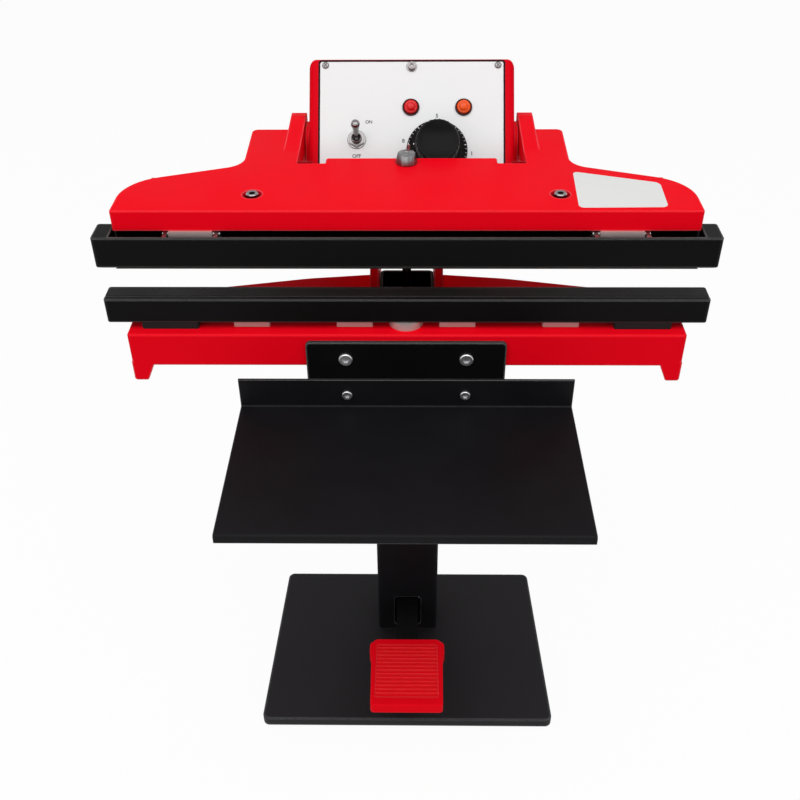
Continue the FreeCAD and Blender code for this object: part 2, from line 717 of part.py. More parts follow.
def make_upper_casting():
    radii = upper_plan_radii + upper_plan_radii[::-1]
    shell = slab(upper_plan(0), radii, upper_casting_bottom, upper_casting_top)
    shell = round_edges(shell, 1.2, lambda e: flat_at(e, upper_casting_top))
    inner_radii = [max(r - casting_wall, 1.0) for r in upper_plan_radii]
    cavity = slab(upper_plan(casting_wall), inner_radii + inner_radii[::-1], upper_casting_bottom - 1,
                  upper_casting_top - casting_top_wall)
    shell = shell.cut(cavity)
    arm = side_profile([(y_at(arm_ramp_set_back), upper_casting_top - 1), (hinge_y - 32, hinge_height),
                        (hinge_y - 14, hinge_height - arm_radius), (hinge_y + arm_radius + 3, hinge_height - arm_radius),
                        (hinge_y + arm_radius + 3, upper_casting_top + arm_rise - 1),
                        (hinge_y + 8, upper_casting_top + arm_rise),
                        (y_at(arm_ramp_set_back), upper_casting_top - 0.1)],
                       [0, 8, 12, arm_radius - 4, 5, 6, 0], arm_inner, arm_outer)
    bolt_boss = bar_z(cup_radius + 3, upper_casting_bottom + 4, upper_casting_top - 2, jaw_bolt_spacing / 2,
                      y_at(jaw_bolt_set_back))
    cap_boss = block(hanger_inner - 3, hanger_outer + 3, upper_front_y + 2, y_at(30), upper_casting_bottom + 4,
                     upper_casting_top - 2)
    ribs = [block(x - 2, x + 2, upper_front_y + 2, y_at(90), upper_casting_bottom + 5, upper_casting_top - 2)
            for x in (120.0, 262.0)]
    half = [bolt_boss, cap_boss] + ribs
    rod_boss = bar_z(14.0, upper_casting_bottom + 2, upper_casting_top - 2, 0, y_at(rod_set_back - 4))
    casting = fuse_all([shell, rod_boss, shifted(arm), shifted(mirrored(arm))] + half
                       + [mirrored(piece) for piece in half])
    tools = [shifted(bar_x(hinge_pin_radius + bush_wall, -arm_outer - 1, arm_outer + 1, hinge_y, hinge_height))]
    rod_slot = slab(rectangle(-rod_radius - 0.4, rod_radius + 0.4, rod_y - rod_radius - 4.5, rod_y + rod_radius + 0.5),
                    rod_radius + 0.3, upper_casting_bottom - 5, upper_casting_top + 5)
    ball_seat = Part.makeSphere(rod_ball_radius + running_gap, vec(0, rod_y, rod_ball_z))
    tools += [rod_slot, ball_seat]
    for sx in (-1, 1):
        x = sx * jaw_bolt_spacing / 2
        tools.append(bar_z(cup_radius, upper_casting_top - cup_depth, upper_casting_top + 1, x, y_at(jaw_bolt_set_back)))
        tools.append(bar_z(4 + bolt_gap, upper_casting_bottom, upper_casting_top, x, y_at(jaw_bolt_set_back)))
    parts["upper_jaw_casting"] = cut_all(casting, tools)
    bolts = [socket_screw(vec(sx * jaw_bolt_spacing / 2, y_at(jaw_bolt_set_back), upper_casting_top - cup_depth + 1.2),
                          vec(0, 0, 1), 4.0, upper_skirt - cup_depth - 1, 6.3, 5.5) for sx in (-1, 1)]
    cups = [bar_z(cup_radius - 0.2, upper_casting_top - cup_depth, upper_casting_top - cup_depth + 1.2,
                  sx * jaw_bolt_spacing / 2, y_at(jaw_bolt_set_back)) for sx in (-1, 1)]
    cups = [cup.cut(bar_z(4 + bolt_gap, 0, upper_casting_top, sx * jaw_bolt_spacing / 2, y_at(jaw_bolt_set_back)))
            for cup, sx in zip(cups, (-1, 1))]
    parts["jaw_bolts"] = group(bolts + cups)


def make_hangers():
    """Each hanger is bolted under the casting and drops two short ears of the pivot into the bar's channel."""
    boss_bottom = upper_casting_bottom + 4
    foot_front = upper_front_y + casting_wall + slip_gap
    foot = slab([(hanger_outer, foot_front), (hanger_outer, y_at(27)), (jaw_bolt_spacing / 2 + 12, y_at(58)),
                 (jaw_bolt_spacing / 2 - 12, y_at(58)), (jaw_bolt_spacing / 2 - 12, y_at(40)), (hanger_inner, foot_front)],
                [0, 6, 8, 8, 8, 0], upper_casting_bottom, boss_bottom)
    tongue = side_profile([(y_at(8), upper_casting_bottom), (y_at(8), bar_pivot_z - 8), (y_at(23.2), bar_pivot_z - 8),
                           (y_at(23.2), upper_casting_bottom)], [0, 7.5, 7.5, 0], hanger_inner, hanger_outer)
    hanger = fuse_all([foot, tongue])
    hanger = hanger.cut(bar_x(bar_pivot_radius + running_gap, hanger_inner - 1, hanger_outer + 1, bar_pivot_y, bar_pivot_z))
    hanger = hanger.cut(bar_z(4 + press_gap, 0, upper_casting_top, jaw_bolt_spacing / 2, y_at(jaw_bolt_set_back)))
    parts["bar_hangers"] = pair(hanger)


def make_upper_bar():
    y0, y1 = y_at(0), y_at(upper_bar_depth)
    half = bar_length / 2
    bar = rounded_bar(y0, y1, upper_bar_bottom, upper_bar_top)
    channel = block(-half + bar_end_solid, half - bar_end_solid, y0 + upper_bar_wall, y1 - upper_bar_wall,
                    upper_bar_bottom + upper_bar_web, upper_bar_top + 1)
    parts["upper_jaw_bar"] = bar.cut(channel)
    floor = upper_bar_bottom + upper_bar_web
    bracket_y0, bracket_y1 = y0 + upper_bar_wall + 0.4, y1 - upper_bar_wall - 0.4
    outer = front_profile([(hanger_inner - 6, floor), (hanger_outer + 6, floor), (hanger_outer + 6, bar_pivot_z + 2.5),
                           (hanger_inner - 6, bar_pivot_z + 2.5)], 0, bracket_y0, bracket_y1)
    gap = block(hanger_inner - 2, hanger_outer + 2, bracket_y0 - 1, bracket_y1 + 1, floor + 3, upper_bar_top + 9)
    bracket = outer.cut(gap)
    bracket = bracket.cut(bar_x(bar_pivot_radius, hanger_inner - 9, hanger_outer + 9, bar_pivot_y, bar_pivot_z))
    bracket = bracket.common(block(0, half, y0, y1, 0, bar_pivot_z + 2.5))
    parts["bar_pivot_brackets"] = pair(bracket)
    pin = bar_x(bar_pivot_radius - 0.02, hanger_inner - 7, hanger_outer + 7, bar_pivot_y, bar_pivot_z)
    parts["bar_pivot_pins"] = pair(pin)
    seal_y = y_at(ribbon_set_back)
    insulation = block(-half + 2, half - 2, seal_y - release_sheet_width / 2 + 1, seal_y + release_sheet_width / 2 - 1,
                       upper_bar_bottom - insulation_thickness, upper_bar_bottom)
    parts["insulation_strip"] = insulation
    ribbon_top = upper_bar_bottom - insulation_thickness
    ribbon_bottom = ribbon_top - ribbon_thickness
    parts["heating_ribbon"] = block(-half + 4, half - 4, seal_y - ribbon_width / 2, seal_y + ribbon_width / 2,
                                    ribbon_bottom, ribbon_top)
    clamp_x = half - 4 - ribbon_clamp_length
    sheet = block(-clamp_x, clamp_x, seal_y - release_sheet_width / 2, seal_y + release_sheet_width / 2,
                  ribbon_bottom - release_sheet_thickness, ribbon_bottom)
    parts["release_sheet"] = sheet
    clamp = block(clamp_x + 1, half - 4, seal_y - 8, seal_y + 8, ribbon_bottom - ribbon_clamp_thickness, ribbon_bottom)
    parts["ribbon_clamps"] = pair(clamp)


def make_hinge():
    """Two stub pins fixed in the yoke's lugs; the arms turn on them in bronze bushes."""
    outer_end = arm_outer + 6
    pin = bar_x(hinge_pin_radius - 0.02, lug_inner, outer_end, hinge_y, hinge_height)
    pin = pin.makeChamfer(1.0, [e for e in pin.Edges if e.BoundBox.XMin > outer_end - 0.01])
    groove = turned([(hinge_pin_radius - 1, 0), (hinge_pin_radius + 1, 0), (hinge_pin_radius + 1, 1.6),
                     (hinge_pin_radius - 1, 1.6)], vec(arm_outer + 2.6, hinge_y, hinge_height), vec(1, 0, 0))
    bush_outer = hinge_pin_radius + bush_wall - 0.02
    bush = bar_x(bush_outer, arm_inner, arm_outer, hinge_y, hinge_height)
    flange = bar_x(bush_outer + 3, arm_outer, arm_outer + 1.5, hinge_y, hinge_height)
    bush = fuse_all([bush, flange]).cut(bar_x(hinge_pin_radius + running_gap, 0, arm_outer + 20, hinge_y, hinge_height))
    parts["hinge_bushes"] = shifted(pair(bush))
    ring = bar_x(hinge_pin_radius + 2.6, arm_outer + 2.7, arm_outer + 4.1, hinge_y, hinge_height)
    ring = ring.cut(bar_x(hinge_pin_radius - 0.95, 0, arm_outer + 20, hinge_y, hinge_height))
    gap = block(0, arm_outer + 20, hinge_y - 2.5, hinge_y + 2.5, hinge_height - 20, hinge_height - 5)
    parts["hinge_pins"] = shifted(pair(group([pin.cut(groove), ring.cut(gap)])))


# Pull rod with a ball on top under a tapered cap, stop collar, return spring and the eye that takes the pedal pin
collar_top = column_top - slip_gap
collar_bottom = column_top - stop_collar_height
eye_top = rod_pin_z + 22.0
eye_half = 7.0


def make_rod():
    rod = bar_z(rod_radius, eye_top - 12, rod_ball_z, 0, rod_y)
    parts["pull_rod"] = fuse_all([rod, Part.makeSphere(rod_ball_radius, vec(0, rod_y, rod_ball_z))])
    cap = turned([(0, 0), (cap_bottom_radius - 0.8, 0), (cap_bottom_radius, 0.8), (cap_top_radius, cap_height - 1),
                  (cap_top_radius - 1, cap_height), (0, cap_height)], vec(0, rod_y, upper_casting_top), vec(0, 0, 1))
    parts["rod_cap"] = cap.cut(Part.makeSphere(rod_ball_radius + running_gap, vec(0, rod_y, rod_ball_z)))
    collar = bar_z(spring_radius + spring_wire_radius + 1.5, collar_bottom, collar_top, 0, rod_y)
    collar = collar.makeChamfer(1.0, [e for e in collar.Edges if flat_at(e, collar_bottom)])
    parts["stop_collar"] = collar.cut(bar_z(rod_radius + 0.02, collar_bottom - 1, collar_top + 1, 0, rod_y))
    eye = side_profile([(rod_y - 8, eye_top), (rod_y - 8, rod_pin_z - 8), (rod_y + 8, rod_pin_z - 8),
                        (rod_y + 8, eye_top)], [2, 7.5, 7.5, 2], -eye_half, eye_half)
    eye = eye.cut(bar_z(rod_radius + 0.02, eye_top - 12, eye_top + 1, 0, rod_y))
    parts["rod_eye"] = eye.cut(bar_x(rod_pin_radius + eye_play, -20, 20, rod_y, rod_pin_z))
    pin = bar_x(rod_pin_radius - 0.02, -lever_width / 2 - 1.2, lever_width / 2 + 1.2, rod_y, rod_pin_z)
    head = bar_x(rod_pin_radius + 2.2, lever_width / 2 + 0.4, lever_width / 2 + 2.4, rod_y, rod_pin_z)
    ring = bar_x(rod_pin_radius + 1.6, -lever_width / 2 - 1.6, -lever_width / 2 - 0.4, rod_y, rod_pin_z)
    parts["rod_eye_pin"] = fuse_all([pin, head, ring])
    parts["return_spring"] = coil(spring_radius, spring_wire_radius, spring_shelf_top, collar_bottom, spring_turns,
                                  0, rod_y)


def coil(radius, wire_radius, z0, z1, turns, x, y, steps_per_turn=14, sides=8):
    """Compression spring that fills the height between two seats, lofted through flat-sided wire sections."""
    bottom = z0 + wire_radius + slip_gap
    height = z1 - z0 - 2 * (wire_radius + slip_gap)
    sections = []
    for step in range(turns * steps_per_turn + 1):
        around = 2 * math.pi * step / steps_per_turn
        middle = bottom + height * step / (turns * steps_per_turn)
        corners = []
        for k in range(sides + 1):
            angle = 2 * math.pi * k / sides
            reach = radius + wire_radius * math.cos(angle)
            corners.append(vec(x + reach * math.cos(around), y + reach * math.sin(around),
                               middle + wire_radius * math.sin(angle)))
        sections.append(Part.makePolygon(corners))
    return Part.makeLoft(sections, True, True)


# Pedal: a pressed channel lever on a pivot behind the column, with a ribbed foot pad
lever_front_y = y_at(-46.0)
pad_front_y = y_at(pedal_front_set_back)
pad_back_y = pad_front_y + pad_length
slope = math.radians(pad_slope)


def pad_under(y):
    """Height of the pad's underside at a given Y."""
    return pad_front_top - pad_thickness / math.cos(slope) - (y - pad_front_y) * math.tan(slope)


def make_pedal():
    web = lever_wall
    top_rear = pedal_pivot_height + 9
    side = [(pedal_pivot_y + 9, pedal_pivot_height - 9), (pedal_pivot_y + 9, top_rear),
            (rod_y + 6, rod_pin_z + 11), (pad_back_y + 4, pad_under(pad_back_y + 4)),
            (lever_front_y, pad_under(lever_front_y)), (lever_front_y, pad_under(lever_front_y) - 9),
            (pad_back_y + 12, pad_under(pad_back_y) - lever_height), (rod_y - 8, rod_pin_z - 11),
            (pedal_pivot_y - 4, pedal_pivot_height - 9)]
    radii = [8.0, 8.0, 20.0, 6.0, 0, 3.0, 30.0, 30.0, 6.0]
    outer = side_profile(side, radii, -lever_width / 2, lever_width / 2)
    inside = lever_width / 2 - lever_wall
    inner_side = [(pedal_pivot_y + 20, 0), (pedal_pivot_y + 20, top_rear - web), (rod_y + 6, rod_pin_z + 11 - web),
                  (pad_back_y + 4, pad_under(pad_back_y + 4) - web), (lever_front_y - 9, pad_under(lever_front_y - 9) - web),
                  (lever_front_y - 9, 0)]
    hollow = side_profile(inner_side, 0, -inside, inside)
    window = block(-eye_half - 1.5, eye_half + 1.5, rod_y - 13, rod_y + 12, rod_pin_z, rod_pin_z + 30)
    hub = bar_x(9.0, -lever_width / 2, lever_width / 2, pedal_pivot_y, pedal_pivot_height)
    lever = fuse_all([outer.cut(hollow), hub])
    tools = [window, bar_x(pivot_pin_radius + running_gap, -30, 30, pedal_pivot_y, pedal_pivot_height),
             bar_x(rod_pin_radius, -30, 30, rod_y, rod_pin_z)]
    holes = [(y_at(-30.0)), (y_at(2.0))]
    tools += [bar_z(3 + bolt_gap, 0, 200, 0, y) for y in holes]
    parts["pedal_lever"] = cut_all(lever, tools)
    make_pad(holes)
    bracket_back = pedal_pivot_y + 9
    ear_inner_x = lever_width / 2 + 1.0
    ear_outer_x = ear_inner_x + 5.0
    ear = side_profile([(column_back_y + 2, base_top), (bracket_back, base_top), (bracket_back, pedal_pivot_height + 9),
                        (pedal_pivot_y - 9, pedal_pivot_height + 9), (column_back_y + 2, base_top + 14)],
                       [0, 0, 8.5, 8.5, 5], ear_inner_x, ear_outer_x)
    foot = slab(rectangle(-34, 34, column_back_y + 2, bracket_back), 3, base_top, base_top + pivot_bracket_thickness)
    bracket = fuse_all([ear, mirrored(ear), foot])
    bracket = cut_all(bracket, [bar_x(pivot_pin_radius, -40, 40, pedal_pivot_y, pedal_pivot_height)]
                      + [bar_z(pivot_bolt_radius + bolt_gap, 0, 100, x, y) for x, y in pivot_bolt_places])
    parts["pedal_pivot_bracket"] = bracket
    pin = bar_x(pivot_pin_radius - 0.02, -ear_outer_x - 3, ear_outer_x + 0.5, pedal_pivot_y, pedal_pivot_height)
    head = bar_x(pivot_pin_radius + 3, ear_outer_x + 0.1, ear_outer_x + 3.5, pedal_pivot_y, pedal_pivot_height)
    clip = bar_x(pivot_pin_radius + 2, -ear_outer_x - 1.8, -ear_outer_x - 0.4, pedal_pivot_y, pedal_pivot_height)
    parts["pedal_pivot_pin"] = fuse_all([pin, head, clip])


def make_pad(screw_ys):
    """Foot pad: flared at the back, with cross ribs proud of a recessed tread and a lip at the front."""
    flat = pad_front_top
    front, back = pad_front_width / 2, pad_back_width / 2
    plan = [(-front, pad_front_y), (front, pad_front_y), (front + 1.6, pad_back_y - 34), (back, pad_back_y - 24),
            (back, pad_back_y - 8), (back - 9, pad_back_y), (-back + 9, pad_back_y), (-back, pad_back_y - 8),
            (-back, pad_back_y - 24), (-front - 1.6, pad_back_y - 34)]
    radii = [5, 5, 6, 6, 7, 6, 6, 7, 6, 6]
    body = slab(plan, radii, flat - pad_thickness, flat)
    body = round_edges(body, 1.6, lambda e: flat_at(e, flat))
    tread_x = 41.0
    tread_front = pad_front_y + 12
    tread_back = pad_back_y - 11
    pitch = (tread_back - tread_front) / pad_rib_count
    recess = slab(rectangle(-tread_x, tread_x, tread_front, tread_back), 3, flat - 2.0, flat + 1)
    body = body.cut(recess)
    ribs = []
    for k in range(pad_rib_count):
        y0 = tread_front + (k + 0.25) * pitch
        rib = block(-tread_x, tread_x, y0, y0 + pitch * 0.5, flat - 2.5, flat - 0.3)
        ribs.append(rib)
    pocket = slab(rectangle(-front + 5, front - 5, pad_front_y + 5, pad_back_y - 6), 4, flat - pad_thickness - 1,
                  flat - 6.5)
    beam = block(-lever_width / 2 - 3, lever_width / 2 + 3, pad_front_y + 2, pad_back_y - 2, flat - pad_thickness,
                 flat - 4)
    pad = fuse_all([body.cut(pocket), beam] + ribs)
    turn = FreeCAD.Placement(vec(0, 0, 0), FreeCAD.Rotation(vec(1, 0, 0), -pad_slope), vec(0, pad_front_y, pad_front_top))
    pad = pad.transformGeometry(turn.toMatrix())
    pad = cut_all(pad, [bar_z(3 - 0.02, 0, pad_under(y) + 7, 0, y) for y in screw_ys])
    parts["pedal_pad"] = pad
    screws = [bolt(vec(0, y, pad_under(y) - lever_wall - 0.6), vec(0, 0, -1), 2.9, lever_wall + 6, 5.0, 4.0)
              for y in screw_ys]
    parts["pad_screws"] = group(screws)


# Control box: a folded housing with a sloping front, closed by the panel and a back cover
panel_y = y_at(panel_bottom_set_back)
tilt = math.radians(panel_tilt)
panel_up = vec(0, math.cos(tilt), math.sin(tilt))
panel_out = vec(0, -math.sin(tilt), math.cos(tilt))
box_back_y = y_at(box_back_set_back)
box_bottom = yoke_plate_top
panel_bottom_height = yoke_plate_top + panel_bottom_rise
box_left = head_offset - box_half_width
box_right = head_offset + box_half_width
shoulder_length = 36.0


def on_panel(shape):
    """Move a shape from panel coordinates (across, up the slope, out of the face) to the machine."""
    place = FreeCAD.Placement(vec(head_offset, panel_y, panel_bottom_height),
                              FreeCAD.Rotation(vec(1, 0, 0), panel_tilt))
    moved = shape.copy()
    moved.Placement = place.multiply(shape.Placement)
    return moved


def panel_point(up, out):
    """Machine (y, z) of a place on the panel."""
    return (panel_y + up * panel_up.y + out * panel_out.y, panel_bottom_height + up * panel_up.z + out * panel_out.z)


def make_box():
    """Housing seen from the side: a short front, the slope, a shoulder square to the slope and an upright back."""
    low = panel_point(-box_rim, 0)
    high = panel_point(panel_length + box_rim, 0)
    shoulder = panel_point(panel_length + box_rim, -shoulder_length)
    shoulder = (box_back_y, shoulder[1])
    side = [(low[0] + 2, box_bottom), low, high, shoulder, (box_back_y, box_bottom)]
    body = side_profile(side, [0, 1.5, 1.5, 6, 0], box_left, box_right)
    reach = 2 * panel_length
    face_view = slab(rectangle(-box_half_width, box_half_width, -reach, panel_length + box_rim),
                     [0, 0, box_corner_radius, box_corner_radius], -reach, box_rim)
    slope_view = front_profile([(-box_half_width, 0), (box_half_width, 0), (box_half_width, -reach),
                                (-box_half_width, -reach)], [box_side_radius, box_side_radius, 0, 0], -reach, reach)
    body = body.common(on_panel(face_view)).common(on_panel(slope_view))
    inner = [(low[0] + 7, box_bottom + box_sheet), panel_point(4, -3), panel_point(panel_length - 1, -3),
             panel_point(panel_length - 1, -12), (box_back_y + 1, shoulder[1] - 6),
             (box_back_y + 1, box_bottom + box_sheet)]
    cavity = side_profile(inner, 0, box_left + box_sheet, box_right - box_sheet)
    half = panel_width / 2
    mouth = slab(rectangle(-half + 7, half - 7, 7, panel_length - 6), 4, -12, 6)
    rebate = slab(rectangle(-half - panel_gap, half + panel_gap, -panel_gap, panel_length + panel_gap), 3,
                  -panel_thickness, 10)
    cover_top = shoulder[1] - 8
    back_rebate = cover_shape(4, cover_top, 6, box_back_y - 2, box_back_y + 2)
    floor_holes = [shifted(bar_z(2.5, box_bottom - 1, box_bottom + 8, x, y)) for x, y in box_screw_places()]
    shell = body.cut(cavity)
    shell = shell.fuse(box_frame(cover_top).common(body)).removeSplitter()
    screw_holes = [on_panel(bar_z(1.9 + press_gap, -8, 1, x, y)) for x, y in panel_screw_places]
    shell = cut_all(shell, [on_panel(mouth), on_panel(rebate), back_rebate] + floor_holes + screw_holes)
    parts["control_box_shell"] = shell
    cover = cover_shape(4.4, cover_top - 0.4, 5.6, box_back_y - 2, box_back_y)
    gland_hole = bar_y(8.2, box_back_y - 5, box_back_y + 5, gland_x, gland_z)
    places = cover_screw_places(cover_top)
    cover = cut_all(cover, [gland_hole] + [bar_y(2.2, box_back_y - 5, box_back_y + 5, x, z) for x, z in places])
    parts["back_cover"] = cover
    cover_screws = [bolt(vec(x, box_back_y, z), vec(0, 1, 0), 2.0 - press_gap, 8, 3.6, 2.2, sides=0)
                    for x, z in places]
    box_bolts = [shifted(bolt(vec(x, y, yoke_plate_bottom), vec(0, 0, -1), 2.5 - press_gap,
                              yoke_plate_thickness + 5.5, 5.0, 3.5)) for x, y in box_screw_places()]
    parts["box_screws"] = group(cover_screws + box_bolts)


def cover_shape(inset, top, radius, y0, y1):
    """Rounded plate that fills the back of the box up to a height."""
    return front_profile([(box_left + inset, box_bottom + inset), (box_right - inset, box_bottom + inset),
                          (box_right - inset, top), (box_left + inset, top)], radius, y0, y1)


def cover_screw_places(cover_top):
    return [(head_offset + sx * (box_half_width - 12), z) for sx in (-1, 1) for z in (box_bottom + 12, cover_top - 9)]


def box_frame(cover_top):
    """Flange inside the sloping mouth that the panel's edge rests on, and a ring and posts for the back cover."""
    flange = on_panel(block(-box_half_width, box_half_width, -3, panel_length + 3, -5, 0))
    posts = [block(x - 5, x + 5, box_back_y - 14, box_back_y, z - 5, z + 5)
             .cut(bar_y(2.0, box_back_y - 15, box_back_y + 1, x, z)) for x, z in cover_screw_places(cover_top)]
    ring = block(box_left, box_right, box_back_y - 5, box_back_y, box_bottom, cover_top + 8)
    ring = ring.cut(block(box_left + 8, box_right - 8, box_back_y - 6, box_back_y + 1, box_bottom + 8, cover_top - 4))
    return fuse_all([flange] + posts + [ring])


gland_x = head_offset + box_half_width - 45.0
gland_z = box_bottom + 28.0
panel_half = panel_width / 2
toggle_at = (-61.3, control_zero + 27.2)
red_lamp_at = (-0.9, control_zero + 63.7)
orange_lamp_at = (58.0, control_zero + 63.7)
knob_at = (28.3, control_zero + 15.0)
middle_screw_up = control_zero + 109.9
panel_screw_places = [(-96.5, control_zero + 111.4), (96.5, control_zero + 111.4), (-98.5, 3.9), (98.5, 3.9)]


def make_panel():
    plate = slab(rectangle(-panel_half, panel_half, 0, panel_length), 2.5, -panel_thickness, 0)
    holes = [(toggle_at, 6.2), (red_lamp_at, 6.2), (orange_lamp_at, 6.2), (knob_at, 5.2)]
    tools = [bar_z(radius, -5, 5, place[0], place[1]) for place, radius in holes]
    tools += [bar_z(2.2, -5, 5, x, y) for x, y in panel_screw_places]
    tools.append(bar_z(2.5 + press_gap, -5, 5, 0, middle_screw_up))
    parts["control_panel"] = on_panel(cut_all(plate, tools))
    screws = [bolt(vec(x, y, 0), vec(0, 0, 1), 1.9, panel_thickness + 2.8, 3.9, 1.8, sides=0) for x, y in panel_screw_places]
    screws.append(socket_screw(vec(0, middle_screw_up, 0), vec(0, 0, 1), 2.5, 1.9, 6.0, 3.0))
    parts["panel_screws"] = group([on_panel(screw) for screw in screws])


def lamp(place):
    """Panel lamp: a domed lens in a thin bezel, with its body and ring nut behind the panel."""
    x, y = place
    lens = turned([(0, 1.5), (lamp_radius - 1.6, 1.5), (lamp_radius - 1.6, 4.0), (lamp_radius - 3.2, 6.6),
                   (lamp_radius - 6.0, 7.9), (0, 8.3)], vec(x, y, 0), vec(0, 0, 1))
    bezel = turned([(0, 0), (lamp_radius, 0), (lamp_radius, 1.6), (lamp_radius - 0.8, 2.4), (lamp_radius - 1.5, 2.4),
                    (lamp_radius - 1.5, 1.4), (0, 1.4)], vec(x, y, 0), vec(0, 0, 1))
    stem = bar_z(6.0, -22, 0, x, y)
    nut = bar_z(8.5, -6, -panel_thickness - 0.1, x, y)
    return lens, fuse_all([bezel, stem, nut])


def make_controls():
    red_lens, red_body = lamp(red_lamp_at)
    orange_lens, orange_body = lamp(orange_lamp_at)
    parts["power_lamp_lens"] = on_panel(red_lens)
    parts["sealing_lamp_lens"] = on_panel(orange_lens)
    parts["lamp_bodies"] = group([on_panel(red_body), on_panel(orange_body)])
    x, y = toggle_at
    washer = bar_z(toggle_nut_radius, 0, 1.2, x, y)
    corner = toggle_nut_radius - 1.2
    nut = Part.Face(Part.makePolygon([vec(x + corner * math.cos(math.pi * k / 3), y + corner * math.sin(math.pi * k / 3),
                                          1.2) for k in range(7)])).extrude(vec(0, 0, 2.6))
    thread = bar_z(6.0, -panel_thickness - 2, 9.0, x, y)
    seat = turned([(0, 5.6), (2.4, 5.6), (4.7, 9.5), (0, 9.5)], vec(x, y, 0), vec(0, 0, 1))
    socket = Part.makeSphere(toggle_ball_radius + running_gap, vec(x, y, toggle_pivot_height))
    switch = slab(rectangle(x - 7, x + 7, y - 14, y + 14), 1.5, -28, -panel_thickness - 2)
    parts["toggle_switch"] = on_panel(cut_all(fuse_all([washer, nut, thread, switch]), [seat, socket]))
    bat = turned([(0, 0), (1.7, 0), (1.9, 3.4), (2.9, 5.5), (3.4, toggle_length - 9), (4.8, toggle_length - 6.5),
                  (5.0, toggle_length - 4), (4.0, toggle_length - 1.4), (1.8, toggle_length - 0.2), (0, toggle_length)],
                 vec(0, 0, 0), vec(0, 0, 1))
    lever = fuse_all([bat, Part.makeSphere(toggle_ball_radius)])
    lever.Placement = FreeCAD.Placement(vec(x, y, toggle_pivot_height), FreeCAD.Rotation(vec(1, 0, 0), -toggle_lean))
    parts["toggle_lever"] = on_panel(lever)
    x, y = knob_at
    skirt = turned([(0, 0.8), (knob_skirt_radius, 0.8), (knob_skirt_radius, 2.0), (knob_skirt_radius - 4, 4.4),
                    (knob_cap_radius + 1.6, 6.0), (0, 6.0)], vec(x, y, 0), vec(0, 0, 1))
    grip = turned([(0, 5), (knob_cap_radius + 1.2, 5), (knob_cap_radius, knob_height - 1.2),
                   (knob_cap_radius - 1.2, knob_height), (0, knob_height)], vec(x, y, 0), vec(0, 0, 1))
    flutes = [bar_z(1.0, 8.0, knob_height - 3, x + (knob_cap_radius + 1.2) * math.cos(2 * math.pi * k / 24),
                    y + (knob_cap_radius + 1.2) * math.sin(2 * math.pi * k / 24)) for k in range(24)]
    bore = bar_z(3.05, 0, 14, x, y)
    pot = bar_z(12.0, -16, -panel_thickness - 0.1, x, y)
    shaft = bar_z(3.0, -3, 13.5, x, y)
    bush_nut = bar_z(5.0, -3, 0.5, x, y)
    parts["timer_knob"] = on_panel(cut_all(fuse_all([skirt, grip]), flutes + [bore]))
    parts["timer_potentiometer"] = on_panel(fuse_all([pot, shaft, bush_nut]))


def make_electrics():
    """Transformer and timer board stand on the box floor; the gland closes the mains inlet."""
    floor = box_bottom + box_sheet
    x0 = transformer_x
    y0 = box_back_y - transformer_set_in - transformer_depth
    y1 = y0 + transformer_depth
    half = transformer_width / 2
    core = block(x0 - half, x0 + half, y0, y1, floor + 3, floor + transformer_height)
    winding = slab(rectangle(x0 - half + 14, x0 + half - 14, y0 - 6, y1 + 6), 8, floor + 14,
                   floor + transformer_height - 10)
    feet = block(x0 - half - 10, x0 + half + 10, y0 + 5, y1 - 8, floor, floor + 3)
    parts["transformer"] = fuse_all([core, winding, feet])
    board_x, board_end_x = transformer_x + 62, transformer_x + 66
    board_y0, board_y1 = box_back_y - transformer_set_in - board_length, box_back_y - transformer_set_in + 1
    board = block(board_x, board_end_x, board_y0, board_y1, floor + 6, floor + board_height)
    relay = block(board_end_x, board_end_x + 16, board_y0 + 6, board_y0 + 22, floor + board_height - 24,
                  floor + board_height - 8)
    capacitor = bar_x(6.0, board_end_x, board_end_x + 20, board_y1 - 12, floor + board_height - 14)
    stand = block(board_x - 4, board_end_x + 8, board_y0 + 2, board_y1 - 4, floor, floor + 6)
    parts["timer_board"] = fuse_all([board, relay, capacitor, stand])
    collar = bar_y(8.0, box_back_y - 6, box_back_y, gland_x, gland_z)
    hexagon = [vec(gland_x + 11 * math.cos(math.pi * k / 3), box_back_y, gland_z + 11 * math.sin(math.pi * k / 3))
               for k in range(7)]
    hex_body = Part.Face(Part.makePolygon(hexagon)).extrude(vec(0, 5, 0))
    dome = turned([(0, 0), (9.5, 0), (9.5, 6), (6.5, 9), (0, 9)], vec(gland_x, box_back_y + 5, gland_z), vec(0, 1, 0))
    lock_nut = bar_y(10.5, box_back_y - 6, box_back_y - 2.1, gland_x, gland_z)
    gland = fuse_all([collar, hex_body, dome, lock_nut])
    parts["cable_gland"] = gland.cut(bar_y(4.0, box_back_y - 10, box_back_y + 20, gland_x, gland_z))


def main():
    make_base()
    make_feet()
    make_column()
    make_head()
    make_yoke()
    make_lower_casting()
    make_lower_bar()
    make_shelf()
    make_upper_casting()
    make_hangers()
    make_upper_bar()
    make_hinge()
    make_rod()
    make_pedal()
    make_box()
    make_panel()
    make_controls()
    make_electrics()
    os.makedirs("parts", exist_ok=True)
    whole = FreeCAD.BoundBox()
    for name, shape in parts.items():
        shape.exportStep("parts/" + name + ".step")
        whole.add(shape.BoundBox)
        print(f"{name:24s} solids {len(shape.Solids):2d}  volume {shape.Volume / 1000:9.2f} cm3  valid {shape.isValid()}")
    print("nodes", len(parts))
    print("X", round(whole.XMin, 1), round(whole.XMax, 1), "Y", round(whole.YMin, 1), round(whole.YMax, 1),
          "Z", round(whole.ZMin, 1), round(whole.ZMax, 1))


main()
